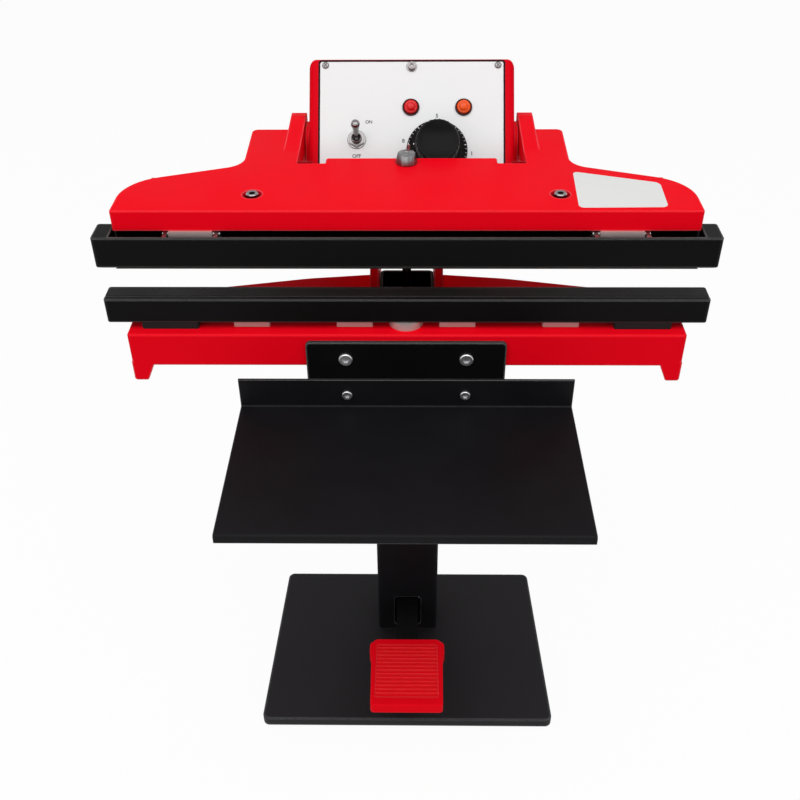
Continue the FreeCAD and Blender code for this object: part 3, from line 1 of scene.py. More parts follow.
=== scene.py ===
# %% [markdown]
# # Foot pedal sealer
# A floor-standing impulse sealer: a black base and column, two long jaws under red castings, a work table and a
# sloping control panel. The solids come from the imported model, which stays where it is. This notebook gives
# them their finishes and adds the small pieces that are worth modelling by hand.
#
# The scene is in metres, with Z up and the operator on the -Y side. Small turned pieces are drawn in
# millimetres, the way such pieces are measured, and a helper turns them into metres.

import json
import math

import bmesh
import bpy
from mathutils import Matrix, Vector


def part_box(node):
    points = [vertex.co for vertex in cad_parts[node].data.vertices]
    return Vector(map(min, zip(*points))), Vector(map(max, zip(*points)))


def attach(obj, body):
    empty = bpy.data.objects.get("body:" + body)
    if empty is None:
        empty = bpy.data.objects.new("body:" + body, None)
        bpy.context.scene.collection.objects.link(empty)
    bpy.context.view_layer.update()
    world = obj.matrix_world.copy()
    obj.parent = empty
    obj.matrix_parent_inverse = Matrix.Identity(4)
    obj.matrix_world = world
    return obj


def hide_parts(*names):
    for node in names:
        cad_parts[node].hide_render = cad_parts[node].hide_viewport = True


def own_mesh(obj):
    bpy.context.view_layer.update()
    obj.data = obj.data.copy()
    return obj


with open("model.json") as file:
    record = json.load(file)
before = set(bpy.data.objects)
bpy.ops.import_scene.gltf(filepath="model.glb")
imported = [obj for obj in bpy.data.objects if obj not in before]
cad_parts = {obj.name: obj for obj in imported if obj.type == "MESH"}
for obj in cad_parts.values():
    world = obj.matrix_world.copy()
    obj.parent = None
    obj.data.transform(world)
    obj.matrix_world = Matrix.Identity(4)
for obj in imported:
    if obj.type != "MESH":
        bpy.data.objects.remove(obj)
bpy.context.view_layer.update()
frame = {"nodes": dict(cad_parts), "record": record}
nodes = frame["nodes"]

# %% [markdown]
# ## Camera
# The photograph looks down at the machine from in front. A Track To constraint could aim the camera, but it
# leaves no say over the roll. Here the turn is worked out from a yaw, a pitch and a roll, so each of the three is
# easy to change. They were found by matching the jaw bars, the table and the base to the photograph.

# %% Camera
picture_pixels = 800
focal_pixels = 1000.7
sensor_width = 36.0
nearest_seen = 0.05
camera_place = Vector((0.0079, -0.9099, 1.195))
camera_yaw = math.radians(0.971)
camera_pitch = math.radians(37.556)
camera_roll = math.radians(-0.467)

scene = bpy.context.scene
camera_data = bpy.data.cameras.new("camera")
camera_data.sensor_width = sensor_width
camera_data.lens = focal_pixels / picture_pixels * sensor_width
camera_data.clip_start = nearest_seen
camera = bpy.data.objects.new("camera", camera_data)
camera.matrix_world = (
    Matrix.Translation(camera_place)
    @ Matrix.Rotation(camera_yaw, 4, "Z")
    @ Matrix.Rotation(math.pi / 2 - camera_pitch, 4, "X")
    @ Matrix.Rotation(camera_roll, 4, "Z")
)
scene.collection.objects.link(camera)
scene.camera = camera
print("lens", round(camera_data.lens, 2), "mm")

# %% [markdown]
# ## White background
# The machine stands on white. More light would make the floor white too, but it would also wash out the paint.
# A Light Path node tells rays apart instead: those that the camera sends out, also by way of a mirror or through
# glass, meet white, and all the others meet a dimmer light, which is what falls on the machine.


# %% Rays that see the background
def seen_rays(tree):
    """A socket that is 1 for camera, mirrored and see-through rays, and 0 for the light on the machine."""
    path = tree.nodes.new("ShaderNodeLightPath")
    seen = path.outputs["Is Camera Ray"]
    for ray in ("Is Glossy Ray", "Is Transmission Ray"):
        either = tree.nodes.new("ShaderNodeMath")
        either.operation = "MAXIMUM"
        tree.links.new(seen, either.inputs[0])
        tree.links.new(path.outputs[ray], either.inputs[1])
        seen = either.outputs[0]
    return seen


# %% [markdown]
# The world is the fill light. It comes evenly from all sides and opens up the shadows, as the white walls of a
# studio do. View transform Standard shows a colour as it is written.

# %% World
fill_strength = 0.30
background_strength = 1.0

scene.view_settings.view_transform = "Standard"
world = bpy.data.worlds.new("studio")
scene.world = world
world.use_nodes = True
world_tree = world.node_tree
world_tree.nodes.clear()
world_out = world_tree.nodes.new("ShaderNodeOutputWorld")
world_mix = world_tree.nodes.new("ShaderNodeMixShader")
world_tree.links.new(seen_rays(world_tree), world_mix.inputs["Fac"])
for socket, strength in ((1, fill_strength), (2, background_strength)):
    light = world_tree.nodes.new("ShaderNodeBackground")
    light.inputs["Color"].default_value = (1.0, 1.0, 1.0, 1.0)
    light.inputs["Strength"].default_value = strength
    world_tree.links.new(light.outputs[0], world_mix.inputs[socket])
world_tree.links.new(world_mix.outputs[0], world_out.inputs["Surface"])
print("fill", fill_strength, "background", background_strength)

# %% [markdown]
# ## Lamps
# A product photograph is lit by soft boxes: large lamps whose shadows have no hard edge. An area lamp is a soft
# box. A wide one hangs above and gives most of the light, one in front reaches under the table to the pedal, one
# stands at each front side, and two at the back keep the rear from going black. Point lamps would be simpler,
# but chrome would mirror each as a hard white dot.


# %% Lamps
def soft_lamp(name, place, target, width, height, power):
    """A rectangular studio lamp, in metres and watts, that faces a point."""
    data = bpy.data.lights.new(name, "AREA")
    data.shape = "RECTANGLE"
    data.size = width
    data.size_y = height
    data.energy = power
    lamp = bpy.data.objects.new(name, data)
    lamp.location = place
    direction = Vector(target) - Vector(place)
    lamp.rotation_euler = direction.to_track_quat("-Z", "Y").to_euler()
    scene.collection.objects.link(lamp)


machine_middle = (0.0, 0.0, 0.45)
pedal_place = (0.0, -0.2, 0.05)
soft_lamp("top_lamp", (0.0, -0.80, 2.55), machine_middle, 3.0, 1.8, 36.0)
soft_lamp("front_lamp", (-0.3, -2.3, 1.2), pedal_place, 1.8, 1.0, 7.0)
soft_lamp("left_lamp", (-2.0, -1.7, 1.5), machine_middle, 1.2, 1.8, 7.0)
soft_lamp("right_lamp", (2.1, -1.5, 1.4), machine_middle, 1.2, 1.8, 4.0)
soft_lamp("back_left_lamp", (-2.4, 1.9, 1.7), machine_middle, 1.2, 1.2, 8.0)
soft_lamp("back_right_lamp", (2.4, 1.9, 1.7), machine_middle, 1.2, 1.2, 8.0)

# %% [markdown]
# ## Floor
# The floor is a sheet of matt paper. The rays that see the background meet it mixed with a white glow, which
# leaves a faint shadow, and the rest meet the plain paper, so the floor throws no extra light up at the machine.

# %% Floor
floor_half_width = 6.0
paper_grey = (0.55, 0.55, 0.55, 1.0)
glow_strength = 1.035
glow_share = 0.92

floor_bm = bmesh.new()
bmesh.ops.create_grid(floor_bm, x_segments=1, y_segments=1, size=floor_half_width)
floor_mesh = bpy.data.meshes.new("floor")
floor_bm.to_mesh(floor_mesh)
floor_bm.free()
floor = bpy.data.objects.new("floor", floor_mesh)
scene.collection.objects.link(floor)

floor_paper = bpy.data.materials.new("floor_paper")
floor_paper.use_nodes = True
floor_tree = floor_paper.node_tree
floor_tree.nodes.clear()
floor_out = floor_tree.nodes.new("ShaderNodeOutputMaterial")
paper = floor_tree.nodes.new("ShaderNodeBsdfDiffuse")
paper.inputs["Color"].default_value = paper_grey
glow = floor_tree.nodes.new("ShaderNodeEmission")
glow.inputs["Strength"].default_value = glow_strength
glowing_paper = floor_tree.nodes.new("ShaderNodeMixShader")
glowing_paper.inputs["Fac"].default_value = glow_share
floor_mix = floor_tree.nodes.new("ShaderNodeMixShader")
floor_tree.links.new(paper.outputs[0], glowing_paper.inputs[1])
floor_tree.links.new(glow.outputs[0], glowing_paper.inputs[2])
floor_tree.links.new(seen_rays(floor_tree), floor_mix.inputs["Fac"])
floor_tree.links.new(paper.outputs[0], floor_mix.inputs[1])
floor_tree.links.new(glowing_paper.outputs[0], floor_mix.inputs[2])
floor_tree.links.new(floor_mix.outputs[0], floor_out.inputs["Surface"])
floor_mesh.materials.append(floor_paper)
print("floor", 2 * floor_half_width, "m wide")

# %% [markdown]
# ## Finishes
# Nearly everything here is paint or metal. Real paint is never one flat colour: it has a faint orange-peel
# ripple and cloudy differences in tone and gloss. Image textures could show that, but noise needs no files and no
# unwrapping. It reads Object coordinates, in metres, so the grain has the same size on every piece.


# %% Noise, range and colour nodes
def add_noise(tree, coordinates, scale, detail):
    """A noise node's value socket."""
    noise = tree.nodes.new("ShaderNodeTexNoise")
    noise.inputs["Scale"].default_value = scale
    noise.inputs["Detail"].default_value = detail
    tree.links.new(coordinates, noise.inputs["Vector"])
    return noise.outputs["Fac"]


def add_range(tree, value, from_low, from_high, to_low, to_high):
    """A value socket carried from one range to another, and held inside it."""
    carried = tree.nodes.new("ShaderNodeMapRange")
    carried.inputs["From Min"].default_value = from_low
    carried.inputs["From Max"].default_value = from_high
    carried.inputs["To Min"].default_value = to_low
    carried.inputs["To Max"].default_value = to_high
    tree.links.new(value, carried.inputs["Value"])
    return carried.outputs[0]


def add_colour_mix(tree, factor, second):
    """A node that blends its colour A into a given colour B."""
    blend = tree.nodes.new("ShaderNodeMix")
    blend.data_type = "RGBA"
    blend.inputs["B"].default_value = (*second, 1.0)
    tree.links.new(factor, blend.inputs["Factor"])
    return blend


# %% [markdown]
# Rounded edges catch the light as a fine bright line, and here that highlight is painted into the colour. Painting
# that line by hand would take an unwrapped image. A Bevel node finds it by itself: it rounds the normal near each
# edge, and where that rounded normal turns away from the face's own there is an edge. Their dot product makes the
# mask for the painted highlight.

# %% Painted edge highlights
edge_samples = 6
edge_starts, edge_full = 0.995, 0.86


def add_painted_edge_highlights(tree, relief, colour, edge, radius):
    """Blends a painted highlight colour in along the edges, and rounds the normal that the relief starts from."""
    rounded = tree.nodes.new("ShaderNodeBevel")
    rounded.samples = edge_samples
    rounded.inputs["Radius"].default_value = radius
    tree.links.new(rounded.outputs[0], relief.inputs["Normal"])
    face = tree.nodes.new("ShaderNodeNewGeometry")
    agree = tree.nodes.new("ShaderNodeVectorMath")
    agree.operation = "DOT_PRODUCT"
    tree.links.new(rounded.outputs[0], agree.inputs[0])
    tree.links.new(face.outputs["Normal"], agree.inputs[1])
    edge_highlight_mask = add_range(tree, agree.outputs["Value"], edge_starts, edge_full, 0.0, 1.0)
    edge_highlighted = add_colour_mix(tree, edge_highlight_mask, edge)
    tree.links.new(colour, edge_highlighted.inputs["A"])
    return edge_highlighted.outputs["Result"]


# %% [markdown]
# One helper puts a finish together: slow noise for the tone and the gloss, fine noise for the ripple, and painted
# edge highlights where they are asked for. The coat and the specular level are the same all over a piece. They are
# set on the shader's own sockets, because a link into either is lost on export.

# %% A finish from noise
cloud_low, cloud_high = 0.3, 0.7
glossiest = 0.02
relief_height = 0.0001


def surface_finish(name, colour, roughness, *, metallic=0.0, coat=0.0, coat_roughness=0.2, grain=900.0, bump=0.02,
                   tone=0.06, gloss_change=0.08, specular=0.5, cloud_scale=14.0, stretch=(1.0, 1.0, 1.0),
                   edge=None, edge_radius=0.0010):
    """Paint, plastic or metal with fine bump, cloudy tone, uneven gloss and, if asked for, painted edge highlights.
    """
    material = bpy.data.materials.new(name)
    material.use_nodes = True
    tree = material.node_tree
    shader = tree.nodes["Principled BSDF"]
    shader.inputs["Metallic"].default_value = metallic
    shader.inputs["Specular IOR Level"].default_value = specular
    shader.inputs["Coat Weight"].default_value = coat
    shader.inputs["Coat Roughness"].default_value = coat_roughness

    place = tree.nodes.new("ShaderNodeTexCoord")
    scaled = tree.nodes.new("ShaderNodeMapping")
    scaled.inputs["Scale"].default_value = stretch
    tree.links.new(place.outputs["Object"], scaled.inputs["Vector"])

    clouds = add_noise(tree, scaled.outputs[0], cloud_scale, 4.0)
    tint = add_colour_mix(tree, clouds, [min(c * (1 + tone), 1.0) for c in colour])
    tint.inputs["A"].default_value = (*[max(c * (1 - tone), 0.0) for c in colour], 1.0)
    uneven = add_range(tree, clouds, cloud_low, cloud_high, max(roughness - gloss_change, glossiest),
                       roughness + gloss_change)
    tree.links.new(uneven, shader.inputs["Roughness"])

    relief = tree.nodes.new("ShaderNodeBump")
    relief.inputs["Strength"].default_value = bump * 10
    relief.inputs["Distance"].default_value = relief_height
    tree.links.new(add_noise(tree, scaled.outputs[0], grain, 2.0), relief.inputs["Height"])
    tree.links.new(relief.outputs[0], shader.inputs["Normal"])

    paint = tint.outputs["Result"]
    # Along the edges a painted highlight colour is blended into the paint.
    if edge:
        paint = add_painted_edge_highlights(tree, relief, paint, edge, edge_radius)
    tree.links.new(paint, shader.inputs["Base Color"])
    return material


# %% [markdown]
# ### Paints
# The castings, the box and the pedal are red gloss enamel. The column, the base and the table are black powder
# coat, which is greyer and rougher than the enamel on the jaw bars. A low specular level keeps the white
# surroundings from turning the red pink and the black grey. The edge colours are painted highlights, and the edge
# radius sets how wide they are.

# %% Paints
# Edge colours: painted highlights along the edges of red and black parts.
red_edge_highlight = (1.0, 0.14, 0.17)
black_edge_highlight = (0.20, 0.20, 0.20)
red_paint = surface_finish("red_paint", (0.90, 0.0016, 0.0110), 0.38, specular=0.020, grain=420.0, bump=0.018,
                           tone=0.03, edge=red_edge_highlight, edge_radius=0.0024)
# The control box and its back cover get a darker copy of the same enamel: painted shade.
box_red_painted_shade = surface_finish("box_red_painted_shade", (0.70, 0.0014, 0.0100), 0.38, specular=0.020, grain=420.0, bump=0.018,
                         tone=0.03, edge=red_edge_highlight, edge_radius=0.0024)
shaded_red = surface_finish("shaded_red", (0.30, 0.0012, 0.0060), 0.45, specular=0.04, tone=0.05)
# The pedal pad gets a lighter copy of the same enamel: painted light against the shade under the table.
pad_red_painted_light = surface_finish("pad_red_painted_light", (0.97, 0.0022, 0.0120), 0.42, specular=0.025, grain=600.0, bump=0.02,
                         tone=0.03, edge=(1.0, 0.10, 0.10))
base_black = surface_finish("base_black", (0.0060, 0.0056, 0.0066), 0.50, specular=0.085, grain=1500.0, bump=0.05,
                            tone=0.12, edge=(0.16, 0.16, 0.16), edge_radius=0.0016)
tray_black = surface_finish("tray_black", (0.0165, 0.0149, 0.0169), 0.50, specular=0.10, grain=1500.0, bump=0.05,
                            tone=0.12, edge=(0.28, 0.28, 0.29), edge_radius=0.0040)
bar_black = surface_finish("bar_black", (0.0036, 0.0032, 0.0034), 0.40, specular=0.055, grain=1200.0, bump=0.03,
                           tone=0.12, edge=black_edge_highlight, edge_radius=0.0032)
hidden_black = surface_finish("hidden_black", (0.0035, 0.0032, 0.0034), 0.55, specular=0.08, tone=0.12)
panel_white = surface_finish("panel_white", (0.82, 0.843, 0.848), 0.38, specular=0.2, grain=900.0, bump=0.008,
                             tone=0.012)
print("paints", len(bpy.data.materials))

# %% [markdown]
# ### Metals
# Metal takes nearly all its look from what it mirrors, and here that is a white room. So its own colour is kept
# well below white. Light and dark streaks, painted reflections, run up the rod cap's cone. Its noise is fine across
# and stretched along Z, and its tone changes so much that such painted streaks stand side by side.

# %% Metals
plain_steel = surface_finish("plain_steel", (0.52, 0.52, 0.53), 0.34, metallic=1.0, grain=700.0, bump=0.02)
zinc_plate = surface_finish("zinc_plate", (0.50, 0.40, 0.385), 0.42, metallic=0.35, grain=800.0, bump=0.02)
bright_steel = surface_finish("bright_steel", (0.20, 0.188, 0.188), 0.18, metallic=1.0, grain=900.0, bump=0.01)
# The cap's light and dark streaks are painted reflections.
streaked_steel_painted_reflections = surface_finish("streaked_steel_painted_reflections", (0.12, 0.12, 0.123), 0.26, metallic=1.0, grain=1100.0, bump=0.05,
                               cloud_scale=210.0, stretch=(1.0, 1.0, 0.05), tone=2.2, gloss_change=0.12)
chrome = surface_finish("chrome", (0.21, 0.195, 0.20), 0.12, metallic=1.0, bump=0.004, gloss_change=0.04)
black_bolt = surface_finish("black_bolt", (0.02, 0.02, 0.021), 0.4, metallic=0.8)
bronze = surface_finish("bronze", (0.50, 0.30, 0.12), 0.35, metallic=1.0)
core_steel = surface_finish("core_steel", (0.16, 0.15, 0.14), 0.6, metallic=0.7)
print("with metals", len(bpy.data.materials))

# %% [markdown]
# ### Rubber, plastic and lenses
# Rubber and silicone are dark and dull, and the rubber's grain is finer and stronger than the paint's. The lamp
# lenses are smooth moulded plastic with a thin clear coat, which gives them a sharp highlight on top of the soft
# one.

# %% Rubber, plastic and lenses
rubber = surface_finish("rubber", (0.010, 0.010, 0.010), 0.75, specular=0.2, bump=0.06, grain=2000.0)
# A dark red for the strip round the panel: painted shade of the gap between the panel and the box.
gap_shade_dark_red = surface_finish("gap_shade_dark_red", (0.022, 0.0018, 0.0050), 0.6, specular=0.08, tone=0.15)
silicone = surface_finish("silicone", (0.008, 0.0075, 0.0075), 0.6, specular=0.15, bump=0.03)
release_cloth = surface_finish("release_cloth", (0.012, 0.010, 0.009), 0.5, specular=0.15, grain=1800.0, bump=0.08)
insulation = surface_finish("insulation", (0.30, 0.26, 0.20), 0.8, grain=1800.0, bump=0.06)
board_green = surface_finish("board_green", (0.02, 0.12, 0.04), 0.4)
# The knob's edge colour is a painted highlight.
dark_plastic = surface_finish("dark_plastic", (0.0026, 0.0026, 0.0027), 0.34, specular=0.07, grain=1400.0,
                              bump=0.02, edge=(0.045, 0.045, 0.045), edge_radius=0.0006)
lamp_rim = surface_finish("lamp_rim", (0.045, 0.0030, 0.0040), 0.3, specular=0.25, tone=0.15)
red_lens = surface_finish("red_lens", (0.74, 0.003, 0.005), 0.16, specular=0.2, coat=0.12, coat_roughness=0.05,
                          tone=0.25)
orange_lens = surface_finish("orange_lens", (0.95, 0.085, 0.002), 0.16, specular=0.2, coat=0.12,
                             coat_roughness=0.05, tone=0.2)
print("with rubber and plastic", len(bpy.data.materials))

# %% [markdown]
# ### Prints
# Printed marks and the bare plate are thin layers of ink or plastic. Next to the paint they are quite flat, so
# they only get a little bump and tone.

# %% Prints
white_print = surface_finish("white_print", (0.80, 0.80, 0.78), 0.5, bump=0.01, tone=0.03)
black_print = surface_finish("black_print", (0.010, 0.010, 0.010), 0.5, bump=0.01, tone=0.05)
red_print = surface_finish("red_print", (0.16, 0.004, 0.012), 0.5, bump=0.01, tone=0.05)
plate_white = surface_finish("plate_white", (0.76, 0.76, 0.75), 0.32, specular=0.3, tone=0.03, bump=0.01)
print("with prints", len(bpy.data.materials))

# %% [markdown]
# ## Dressing the imported nodes
# The record says which material slot each node has, so one table from slot to finish dresses them all. A few
# nodes share a slot with others and look different on the real machine, and the box and the pedal pad get the red
# enamel with painted shade and painted light. A second table goes first for those.

# %% Dress the imported nodes
slot_finish = {
    "base_black": base_black, "red_paint": red_paint, "bar_black": bar_black, "steel": plain_steel,
    "chrome": chrome, "black_bolt": black_bolt, "rubber": rubber, "silicone": silicone,
    "release": release_cloth, "insulation": insulation, "ribbon": bright_steel, "bronze": bronze,
    "panel": panel_white, "red_lens": red_lens, "orange_lens": orange_lens, "dark_plastic": dark_plastic,
    "switch_metal": bright_steel, "core_steel": core_steel, "board_green": board_green,
}
own_finish = {
    "bar_hangers": zinc_plate, "lower_bar_spacers": zinc_plate, "control_box_shell": box_red_painted_shade,
    "back_cover": box_red_painted_shade, "pedal_pad": pad_red_painted_light, "base_tray": tray_black, "pedal_lever": hidden_black,
    "pedal_pivot_bracket": hidden_black, "column_foot_plate": hidden_black,
}
node_slot = {row["node"]: row["material_slot"] for row in frame["record"]["subparts"]}
for name, node in nodes.items():
    node.data.materials.clear()
    node.data.materials.append(own_finish.get(name, slot_finish[node_slot[name]]))
print("dressed", len(nodes), "of them with a finish of their own", len(own_finish))

# %% [markdown]
# ## Making pieces
# Every piece below starts as a bmesh. One helper turns it into an object, gives it a finish and lets it ride on
# a body. The mesh holds its own place, so the object stays at the origin. Two more helpers make a block and give
# it the bevel that every real edge has.

# %% From bmesh to piece
merge_distance = 1e-6


def make_piece(name, bm, finish, body, place=None, angle=35.0):
    """Object from a bmesh, shaded smooth except where its faces meet at more than an angle."""
    bmesh.ops.remove_doubles(bm, verts=bm.verts, dist=merge_distance)
    bmesh.ops.recalc_face_normals(bm, faces=bm.faces)
    if place is not None:
        bmesh.ops.transform(bm, matrix=place, verts=bm.verts)
    for face in bm.faces:
        face.smooth = True
    limit = math.radians(angle)
    for edge in bm.edges:
        if len(edge.link_faces) == 2 and edge.calc_face_angle(0.0) > limit:
            edge.smooth = False
    mesh = bpy.data.meshes.new(name)
    bm.to_mesh(mesh)
    bm.free()
    mesh.materials.append(finish)
    piece = bpy.data.objects.new(name, mesh)
    scene.collection.objects.link(piece)
    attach(piece, body)
    print(name, "faces", len(mesh.polygons))
    return piece


def add_block(bm, size, centre=(0, 0, 0)):
    """A block by its size and centre in metres. Returns its corners."""
    corners = bmesh.ops.create_cube(bm, size=1.0)["verts"]
    bmesh.ops.scale(bm, vec=size, verts=corners)
    bmesh.ops.translate(bm, vec=centre, verts=corners)
    return corners


def bevel_edges(bm, edges, offset, segments):
    """A round bevel with the settings that the editor's own bevel starts with."""
    bmesh.ops.bevel(bm, geom=edges, offset=offset, segments=segments, affect="EDGES", profile=0.5, material=-1)


# %% [markdown]
# Turned pieces are spun from half of their outline, the way a lathe makes them. A cylinder primitive would be
# quicker, but it has no chamfers, grooves or domes. The outline is written in millimetres. Several forms that
# make up one piece, such as a screw's head and its shank, are joined into one bmesh.


# %% Turned forms
def lathe(profile, steps=64):
    """A turned form from (radius, height) points in millimetres, spun about Z."""
    bm = bmesh.new()
    points = [bm.verts.new((radius / 1000, 0.0, height / 1000)) for radius, height in profile]
    edges = [bm.edges.new(pair) for pair in zip(points, points[1:])]
    bmesh.ops.spin(bm, geom=points + edges, axis=(0, 0, 1), cent=(0, 0, 0), angle=2 * math.pi, steps=steps,
                   use_merge=True)
    bmesh.ops.remove_doubles(bm, verts=bm.verts, dist=merge_distance)
    return bm


def joined(forms):
    """One bmesh from several (bmesh, matrix) pairs."""
    whole = bmesh.new()
    for bm, place in forms:
        bmesh.ops.transform(bm, matrix=place, verts=bm.verts)
        bmesh.ops.recalc_face_normals(bm, faces=bm.faces)
        mesh = bpy.data.meshes.new("joining")
        bm.to_mesh(mesh)
        bm.free()
        whole.from_mesh(mesh)
        bpy.data.meshes.remove(mesh)
    return whole


# %% [markdown]
# A socket head is turned first, and its inner wall is then pulled from a circle onto a hexagon. Cutting the
# socket with a boolean would work too, but it leaves long thin faces that shade badly.

# %% Socket head
chamfer_share = 0.12
foot_share = 0.97
socket_lead_in = 0.45


def socket_head(radius, height, key, depth, steps=48):
    """A screw head in millimetres. The key is the hexagon's half width across its corners."""
    chamfer = radius * chamfer_share
    bm = lathe([(radius * foot_share, 0), (radius, 0.2), (radius, height - chamfer), (radius - chamfer, height),
                (key + socket_lead_in, height), (key, height - 0.4), (key, height - depth), (0, height - depth)],
               steps)
    for vert in bm.verts:
        reach = math.hypot(vert.co.x, vert.co.y)
        if abs(reach - key / 1000) < merge_distance:
            turn = math.degrees(math.atan2(vert.co.y, vert.co.x)) % 60 - 30
            pull = math.cos(math.radians(30)) / math.cos(math.radians(turn))
            vert.co.x *= pull
            vert.co.y *= pull
    return bm


# %% [markdown]
# ## The panel's own frame
# The control panel leans back. Pieces on it are modelled lying flat, with X across, Y up the slope and Z out of
# the face, and one matrix carries them to their place. Setting each piece's angle and place in the room instead
# would repeat the same sums for every screw.

# %% Panel placement
bar_front = -0.0402
head_offset = 0.0052
panel_set_back = 0.1637
panel_bottom_height = 0.7084
panel_tilt = math.radians(50.3)
panel_length = 134.7
control_zero = 19.3
panel_bottom = Vector((head_offset, bar_front + panel_set_back, panel_bottom_height))
panel_place = Matrix.Translation(panel_bottom) @ Matrix.Rotation(panel_tilt, 4, "X")


def on_panel(x, y, z=0.0):
    """Matrix that stands a piece on the panel at a place in millimetres."""
    return panel_place @ Matrix.Translation((x / 1000, y / 1000, z / 1000))


print("panel bottom", [round(v, 4) for v in panel_bottom])

# %% [markdown]
# ## Panel gap shade
# A thin dark strip lies over the gap between the panel and the box, as painted shade for that gap. It starts as
# one flat face. Its corners are rounded, an inset turns the face into a frame, and extruding that frame gives it a
# thickness.

# %% Gap shade
gap_shade_size = (0.2092, 0.1389, 1.0)
gap_shade_corner = 0.0035
gap_shade_strip = 0.00205
gap_shade_thickness = 0.00023

gap_shade_bm = bmesh.new()
bmesh.ops.create_grid(gap_shade_bm, x_segments=1, y_segments=1, size=0.5)
bmesh.ops.scale(gap_shade_bm, vec=gap_shade_size, verts=gap_shade_bm.verts)
bmesh.ops.bevel(gap_shade_bm, geom=gap_shade_bm.verts[:], offset=gap_shade_corner, segments=5, affect="VERTICES",
                profile=0.5, material=-1)
middle_faces = gap_shade_bm.faces[:]
bmesh.ops.inset_region(gap_shade_bm, faces=middle_faces, thickness=gap_shade_strip, use_boundary=True,
                       use_even_offset=True)
bmesh.ops.delete(gap_shade_bm, geom=middle_faces, context="FACES")
raised = bmesh.ops.extrude_face_region(gap_shade_bm, geom=gap_shade_bm.faces[:])["geom"]
bmesh.ops.translate(gap_shade_bm, vec=(0, 0, gap_shade_thickness),
                    verts=[thing for thing in raised if isinstance(thing, bmesh.types.BMVert)])
make_piece("panel_gap_shade", gap_shade_bm, gap_shade_dark_red, "frame", on_panel(0, panel_length / 2, 0.02))

# %% [markdown]
# ## Timer knob
# The knob is a tall moulded cap on a thin dial skirt. The cap's side has shallow grip flutes, which are every
# fourth strip of the turned side pushed in a little, and its flat top sits inside a fine rim.

# %% Knob
knob_x, knob_y = 28.3, control_zero + 15.0
flutes_from, flutes_to = 0.012, 0.036
side_reach = 0.022
flute_spacing = 4

knob_place = on_panel(knob_x, knob_y)
knob_profile = [(0, 0.8), (34.0, 0.8), (34.0, 1.7), (33.4, 2.3), (30.0, 4.3), (25.2, 6.0), (24.7, 6.9), (24.5, 8.5),
                (23.4, 38.0), (23.0, 39.3), (22.2, 40.0), (20.4, 40.0), (19.9, 39.6), (0, 39.6)]
knob_bm = lathe(knob_profile, steps=120)
side_faces = []
for face in knob_bm.faces:
    middle = face.calc_center_median()
    if flutes_from < middle.z < flutes_to and math.hypot(middle.x, middle.y) > side_reach:
        side_faces.append(face)
side_faces.sort(key=lambda f: math.atan2(f.calc_center_median().y, f.calc_center_median().x))
valleys = side_faces[::flute_spacing]
bmesh.ops.inset_individual(knob_bm, faces=valleys, thickness=0.0002, depth=-0.0005)
knob = make_piece("knob_body", knob_bm, dark_plastic, "knob", knob_place, angle=40)
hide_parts("timer_knob")
print("flutes", len(valleys))

# %% [markdown]
# The skirt carries white ticks and a dark red zone at the end of the scale. An image of the dial could be laid
# on the skirt, but these marks are slivers that rise a tenth of a millimetre from its slope, so they stay sharp
# from any distance.

# %% Knob marks
skirt_bend_reach, skirt_bend_height = 0.030, 0.0043
inner_slope, outer_slope = 1.7 / 4.8, 2.0 / 3.4
print_clearance = 0.00006
print_thickness = 0.00010
tick_count, tick_step, first_tick = 31, 8, -30
zone_count, zone_step, zone_start = 12, 2, 171


def skirt_height(reach):
    """Height of the skirt's slope at a radius, in metres, with a hair of clearance."""
    slope = inner_slope if reach < skirt_bend_reach else outer_slope
    return skirt_bend_height + (skirt_bend_reach - reach) * slope + print_clearance


def skirt_mark(bm, inner, outer, turn, width):
    """A radial sliver laid on the skirt between two radii in millimetres."""
    corners = add_block(bm, ((outer - inner) / 1000, width / 1000, print_thickness), ((outer + inner) / 2000, 0, 0))
    for vert in corners:
        vert.co.z += skirt_height(vert.co.x)
    bmesh.ops.rotate(bm, cent=(0, 0, 0), matrix=Matrix.Rotation(math.radians(turn), 3, "Z"), verts=corners)


marks_bm = bmesh.new()
for index in range(tick_count):
    whole = index % 5 == 0
    skirt_mark(marks_bm, 31.0 if whole else 31.8, 33.2, first_tick + index * tick_step, 0.9 if whole else 0.5)
skirt_mark(marks_bm, 26.0, 33.3, 167, 1.6)
make_piece("knob_marks", marks_bm, white_print, "knob", knob_place)
zone_bm = bmesh.new()
for index in range(zone_count):
    skirt_mark(zone_bm, 30.2, 33.3, zone_start + index * zone_step, 1.3)
make_piece("knob_zone", zone_bm, red_print, "knob", knob_place)

# %% [markdown]
# ## Printed numbers
# The dial has plain numbers, and the switch has ON and OFF. Text is made as a curve, turned into a mesh and only
# then moved to its place, because the export needs the place in the mesh.

# %% Numbers and words
ink_half_thickness = 0.00004
ink_spread = 0.00002
ink_lift = 0.05


def printed_text(name, words, size, x, y):
    """Flat black lettering, a size in millimetres high, that stands just proud of the panel."""
    data = bpy.data.curves.new(name, "FONT")
    data.body = words
    data.size = size / 1000
    data.align_x = "CENTER"
    data.align_y = "CENTER"
    data.extrude = ink_half_thickness
    data.offset = size * ink_spread
    text = bpy.data.objects.new(name + "_curve", data)
    scene.collection.objects.link(text)
    bpy.context.view_layer.update()
    mesh = bpy.data.meshes.new_from_object(text.evaluated_get(bpy.context.evaluated_depsgraph_get()))
    bpy.data.objects.remove(text)
    bm = bmesh.new()
    bm.from_mesh(mesh)
    bpy.data.meshes.remove(mesh)
    make_piece(name, bm, black_print, "frame", on_panel(x, y, ink_lift))


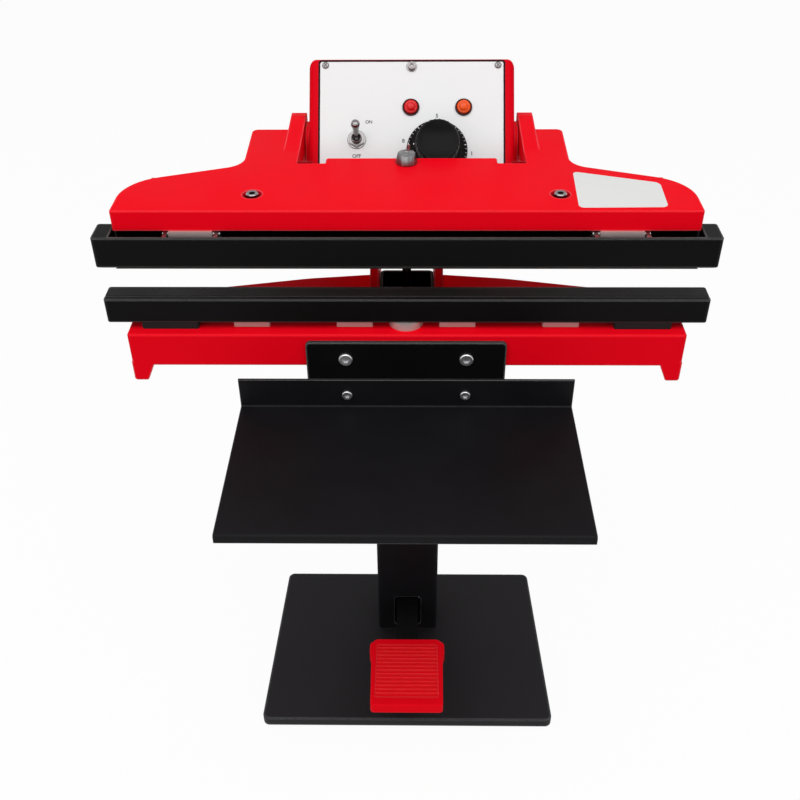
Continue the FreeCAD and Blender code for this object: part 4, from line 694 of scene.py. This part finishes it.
toggle_x, toggle_y = -61.3, control_zero + 27.2
number_reach = 39.0
for digit, angle in {"1": -5.0, "5": 90.0, "8": 164.0}.items():
    across = number_reach * math.cos(math.radians(angle))
    up = number_reach * math.sin(math.radians(angle))
    printed_text("dial_number_" + digit, digit, 6.0, knob_x + across, knob_y + up)
printed_text("switch_on", "ON", 5.0, toggle_x + 13.5, toggle_y + 20.0)
printed_text("switch_off", "OFF", 5.6, toggle_x, toggle_y - 18.5)

# %% [markdown]
# ## Toggle switch
# A panel switch is a stack of turned and six-sided rings: a flat washer, a hexagon nut and a threaded bush, with
# a block-shaped body behind the panel. The nut is made by the cone operator, with six sides and equal radii, and
# its top edges are bevelled away. The thread is a row of ridges in the turned outline, which looks much like a
# helix at this size and is far simpler.

# %% Switch base
nut_radius, nut_height = 0.0094, 0.0028
nut_bm = bmesh.new()
bmesh.ops.create_cone(nut_bm, cap_ends=True, segments=6, radius1=nut_radius, radius2=nut_radius, depth=nut_height)
top_edges = [edge for edge in nut_bm.edges if all(vert.co.z > 0 for vert in edge.verts)]
bevel_edges(nut_bm, top_edges, 0.0006, 2)
washer_bm = lathe([(5.6, 0), (10.4, 0), (10.4, 0.8), (10.0, 1.2), (7.4, 1.3), (5.6, 1.3)], 48)
thread = [(4.9, 3.9)]
for turn in range(5):
    thread += [(6.0, 4.2 + turn), (5.5, 4.7 + turn)]
thread += [(5.7, 9.0), (5.0, 9.4), (4.4, 9.0), (2.5, 6.2), (0, 6.2)]
bush_bm = lathe(thread, 36)
body_bm = bmesh.new()
add_block(body_bm, (0.014, 0.028, 0.024))
bevel_edges(body_bm, body_bm.edges[:], 0.0008, 2)
stem_bm = lathe([(0, -4.5), (6.0, -4.5), (6.0, 0.1), (0, 0.1)], 36)
lift = Matrix.Translation
switch_bm = joined([(nut_bm, lift((0, 0, 0.0027))), (washer_bm, lift((0, 0, 0))), (bush_bm, lift((0, 0, 0))),
                    (body_bm, lift((0, 0, -0.016))), (stem_bm, lift((0, 0, 0)))])
switch = make_piece("switch_base", switch_bm, bright_steel, "frame", on_panel(toggle_x, toggle_y))
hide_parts("toggle_switch")

# %% [markdown]
# The lever is a bat: a slim waist that swells to a rounded end, with a ball at its foot that turns in the bush.
# It rides on the toggle's own body, so it flips while the base stays. It's turned upright and then leaned over.

# %% Switch lever
lever_pivot_height = 6.0
lever_lean = Matrix.Rotation(math.radians(-22.0), 4, "X")
lever_profile = [(0, -2.8), (1.4, -2.4), (2.4, -1.4), (2.8, 0), (2.4, 1.5), (1.9, 2.8), (2.1, 4.5), (2.9, 7.0),
                 (3.3, 14.0), (3.6, 19.0), (4.5, 21.0), (5.0, 23.2), (4.8, 25.2), (3.9, 26.9), (2.2, 27.8), (0, 28.0)]
lever_place = on_panel(toggle_x, toggle_y, lever_pivot_height) @ lever_lean
lever = make_piece("switch_lever", lathe(lever_profile, 40), chrome, "toggle", lever_place, angle=50)
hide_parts("toggle_lever")

# %% [markdown]
# ## Panel lamps
# Each lamp is a domed lens in a dark ring. The lens has an outer skirt and a raised middle, so that the light
# breaks into a ring and a spot as it does on a moulded one. Both rings and the lamp bodies behind the panel are
# one piece, because they stand for one node.

# %% Lamps on the panel
lens_profile = [(0, 1.3), (7.6, 1.3), (7.6, 3.2), (7.1, 4.4), (6.1, 5.0), (5.5, 5.1), (5.1, 6.3), (4.0, 7.4),
                (2.2, 8.1), (0, 8.3)]
rim_profile = [(0, -22), (6.0, -22), (6.0, -6), (8.5, -6), (8.5, -2.1), (6.0, -2.1), (6.0, 0), (9.6, 0), (9.6, 1.5),
               (9.1, 2.6), (8.5, 2.9), (8.0, 2.6), (7.7, 1.2), (0, 1.2)]
lamp_up = control_zero + 63.7
lamp_rows = [("power_lamp_lens", "power_lamp_dome", -0.9, red_lens, "red_lens"),
             ("sealing_lamp_lens", "sealing_lamp_dome", 58.0, orange_lens, "orange_lens")]
rims = []
for node_name, dome_name, lamp_across, finish, slot_name in lamp_rows:
    lamp_place = on_panel(lamp_across, lamp_up)
    lens = make_piece(dome_name, lathe(lens_profile, 56), finish, "frame", lamp_place, angle=30)
    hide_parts(node_name)
    rims.append((lathe(rim_profile, 56), lamp_place))
rim_piece = make_piece("lamp_rims", joined(rims), lamp_rim, "frame", angle=30)
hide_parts("lamp_bodies")

# %% [markdown]
# ## Screws
# The screws that show are a small thing each, but together they tell the eye that the machine is real. The
# panel has four domed screws with a cross, and one larger socket screw on a washer. A cross cut into the dome
# would need a boolean. Two thin dark bars on its top look much the same at this size.

# %% Panel screws
corner_screws = [(sx * across, up) for sx in (-1, 1) for across, up in ((96.5, control_zero + 111.4), (98.5, 3.9))]
dome_profile = [(0, -4.8), (1.9, -4.8), (1.9, 0.02), (3.9, 0.02), (3.9, 0.5), (3.5, 1.3), (2.6, 1.8), (1.2, 2.0),
                (0, 2.0)]
cross_bar = (0.0044, 0.0008, 0.0002)
cross_height = Matrix.Translation((0, 0, 0.00196))

screw_forms = []
cross_forms = []
for across, up in corner_screws:
    place = on_panel(across, up)
    screw_forms.append((lathe(dome_profile, 32), place))
    for turn in (45, 135):
        bar_bm = bmesh.new()
        add_block(bar_bm, cross_bar)
        bevel_edges(bar_bm, bar_bm.edges[:], 0.00008, 1)
        cross_forms.append((bar_bm, place @ cross_height @ Matrix.Rotation(math.radians(turn), 4, "Z")))
middle = on_panel(0, control_zero + 109.9)
screw_forms.append((socket_head(4.4, 3.4, 2.3, 2.0), middle @ Matrix.Translation((0, 0, 0.0008))))
screw_forms.append((lathe([(2.6, 0), (6.0, 0), (6.0, 0.6), (5.7, 0.9), (2.6, 0.9)], 40), middle))
screw_forms.append((lathe([(0, -2.0), (2.5, -2.0), (2.5, 0.9), (0, 0.9)], 24), middle))
panel_screws = make_piece("panel_screw_heads", joined(screw_forms), bright_steel, "frame")
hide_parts("panel_screws")
make_piece("panel_screw_crosses", joined(cross_forms), black_bolt, "frame")

# %% [markdown]
# The two jaw bolts sit in round cups in the wing. Each has a washer in the bottom of the cup and a socket head
# whose top is about level with the paint. They ride on the jaw, which moves.

# %% Jaw bolts
casting_top = 0.7489
cup_depth = 0.0050
jaw_bolt_across, jaw_bolt_set_back = 0.154, 0.0477
jaw_washer = [(4.3, 0), (9.8, 0), (9.8, 0.9), (9.4, 1.2), (4.3, 1.2)]
jaw_shank = [(0, -14), (4.0, -14), (4.0, 1.3), (0, 1.3)]

bolt_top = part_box("jaw_bolts")[1][2]
bolt_forms = []
for sx in (-1, 1):
    place = Matrix.Translation((sx * jaw_bolt_across, bar_front + jaw_bolt_set_back, casting_top - cup_depth))
    bolt_forms.append((lathe(jaw_washer, 56), place))
    bolt_forms.append((socket_head(6.3, 5.4, 3.5, 3.4), place @ Matrix.Translation((0, 0, 0.0012))))
    bolt_forms.append((lathe(jaw_shank, 32), place))
jaw_bolts = make_piece("jaw_bolt_heads", joined(bolt_forms), chrome, "jaw")
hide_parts("jaw_bolts")
print("cup floor", round(casting_top - cup_depth, 4), "node's top", round(bolt_top, 4))

# %% [markdown]
# ## Rod cap
# The pull rod ends in a ball under a tapered steel cap on top of the jaw. The cap is hollow below, where the
# ball turns, and its place is read from the node that it stands for.

# %% Cap
cap_low, cap_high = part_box("rod_cap")
cap_place = Matrix.Translation(((cap_low[0] + cap_high[0]) / 2, (cap_low[1] + cap_high[1]) / 2, cap_low[2]))
cap_bm = lathe([(0, 6.0), (5.6, 3.6), (6.6, 0.0), (10.9, 0.0), (11.5, 0.7), (11.5, 1.4), (9.7, 9.9), (9.3, 10.7),
                (8.7, 11.0), (3.4, 11.0), (3.0, 10.5), (0, 10.5)], 48)
rod_cap = make_piece("cap_cone", cap_bm, streaked_steel_painted_reflections, "jaw", cap_place, angle=30)
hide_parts("rod_cap")

# %% [markdown]
# ## Return spring
# The spring stands inside the column and lifts the rod again. A spin whose steps also rise makes a helix. The
# first and last turn lie nearly flat, as they do on a compression spring. When the jaw closes, the rod's collar
# comes down on the spring. The piece gets a mesh of its own.

# %% Spring
wire = 0.0016
wire_sides = 12
steps_per_turn = 28
active_turns = 6

spring_low, spring_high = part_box("return_spring")
coil_radius = (spring_high[0] - spring_low[0]) / 2 - wire
spring_x = (spring_low[0] + spring_high[0]) / 2
spring_y = (spring_low[1] + spring_high[1]) / 2
flat_rise = 2 * wire
active_rise = spring_high[2] - spring_low[2] - 2 * wire - 2 * flat_rise
spring_bm = bmesh.new()
start_ring = Matrix.Translation((coil_radius, 0, wire)) @ Matrix.Rotation(math.pi / 2, 4, "X")
ring = bmesh.ops.create_circle(spring_bm, cap_ends=False, segments=wire_sides, radius=wire,
                               matrix=start_ring)["verts"]
front = ring + list({edge for vert in ring for edge in vert.link_edges})
for turns, rise in ((1, flat_rise), (active_turns, active_rise), (1, flat_rise)):
    steps = steps_per_turn * turns
    front = bmesh.ops.spin(spring_bm, geom=front, axis=(0, 0, 1), cent=(0, 0, 0), dvec=(0, 0, rise / steps),
                           angle=2 * math.pi * turns, steps=steps, use_merge=False)["geom_last"]
open_edges = [edge for edge in spring_bm.edges if len(edge.link_faces) == 1]
bmesh.ops.holes_fill(spring_bm, edges=open_edges, sides=wire_sides)
spring = make_piece("spring_coil", spring_bm, plain_steel, "frame",
                    Matrix.Translation((spring_x, spring_y, spring_low[2])))
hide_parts("return_spring")
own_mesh(spring)

# %% [markdown]
# ## Bare plate on the wing
# A thin white plate with rounded corners lies on the right wing of the upper casting. Four corner points make a
# face, which is extruded to its thickness before its upright edges are bevelled.

# %% Wing plate
plate_corners = [(172.5, 99.3), (257.5, 72.4), (255.6, 18.6), (168.6, 17.4)]
plate_thickness = 0.0004
plate_corner_radius = 0.006

plate_bm = bmesh.new()
plate_face = plate_bm.faces.new([plate_bm.verts.new((x / 1000, bar_front + y / 1000, casting_top))
                                 for x, y in plate_corners])
lifted = bmesh.ops.extrude_face_region(plate_bm, geom=[plate_face])["geom"]
bmesh.ops.translate(plate_bm, vec=(0, 0, plate_thickness),
                    verts=[thing for thing in lifted if isinstance(thing, bmesh.types.BMVert)])
upright = [edge for edge in plate_bm.edges if abs(edge.verts[0].co.z - edge.verts[1].co.z) > plate_thickness / 2]
bevel_edges(plate_bm, upright, plate_corner_radius, 8)
make_piece("wing_plate", plate_bm, plate_white, "jaw")

# %% [markdown]
# ## Notch webs
# Behind each notch of the upper casting a low upright web closes the corner between the wing and the hinge arm,
# so that no daylight shows through there. Each is a block with a small bevel, painted as red in shade.

# %% Webs
web_spans = [(-0.1165, -0.1000), (0.1115, 0.1268)]
web_thickness, web_height = 0.0030, 0.0200
web_set_back, web_drop = 0.1262, 0.0108

web_bm = bmesh.new()
for left, right in web_spans:
    add_block(web_bm, (right - left, web_thickness, web_height),
              ((left + right) / 2, bar_front + web_set_back, casting_top - web_drop))
bevel_edges(web_bm, web_bm.edges[:], 0.0004, 2)
make_piece("notch_webs", web_bm, shaded_red, "jaw")
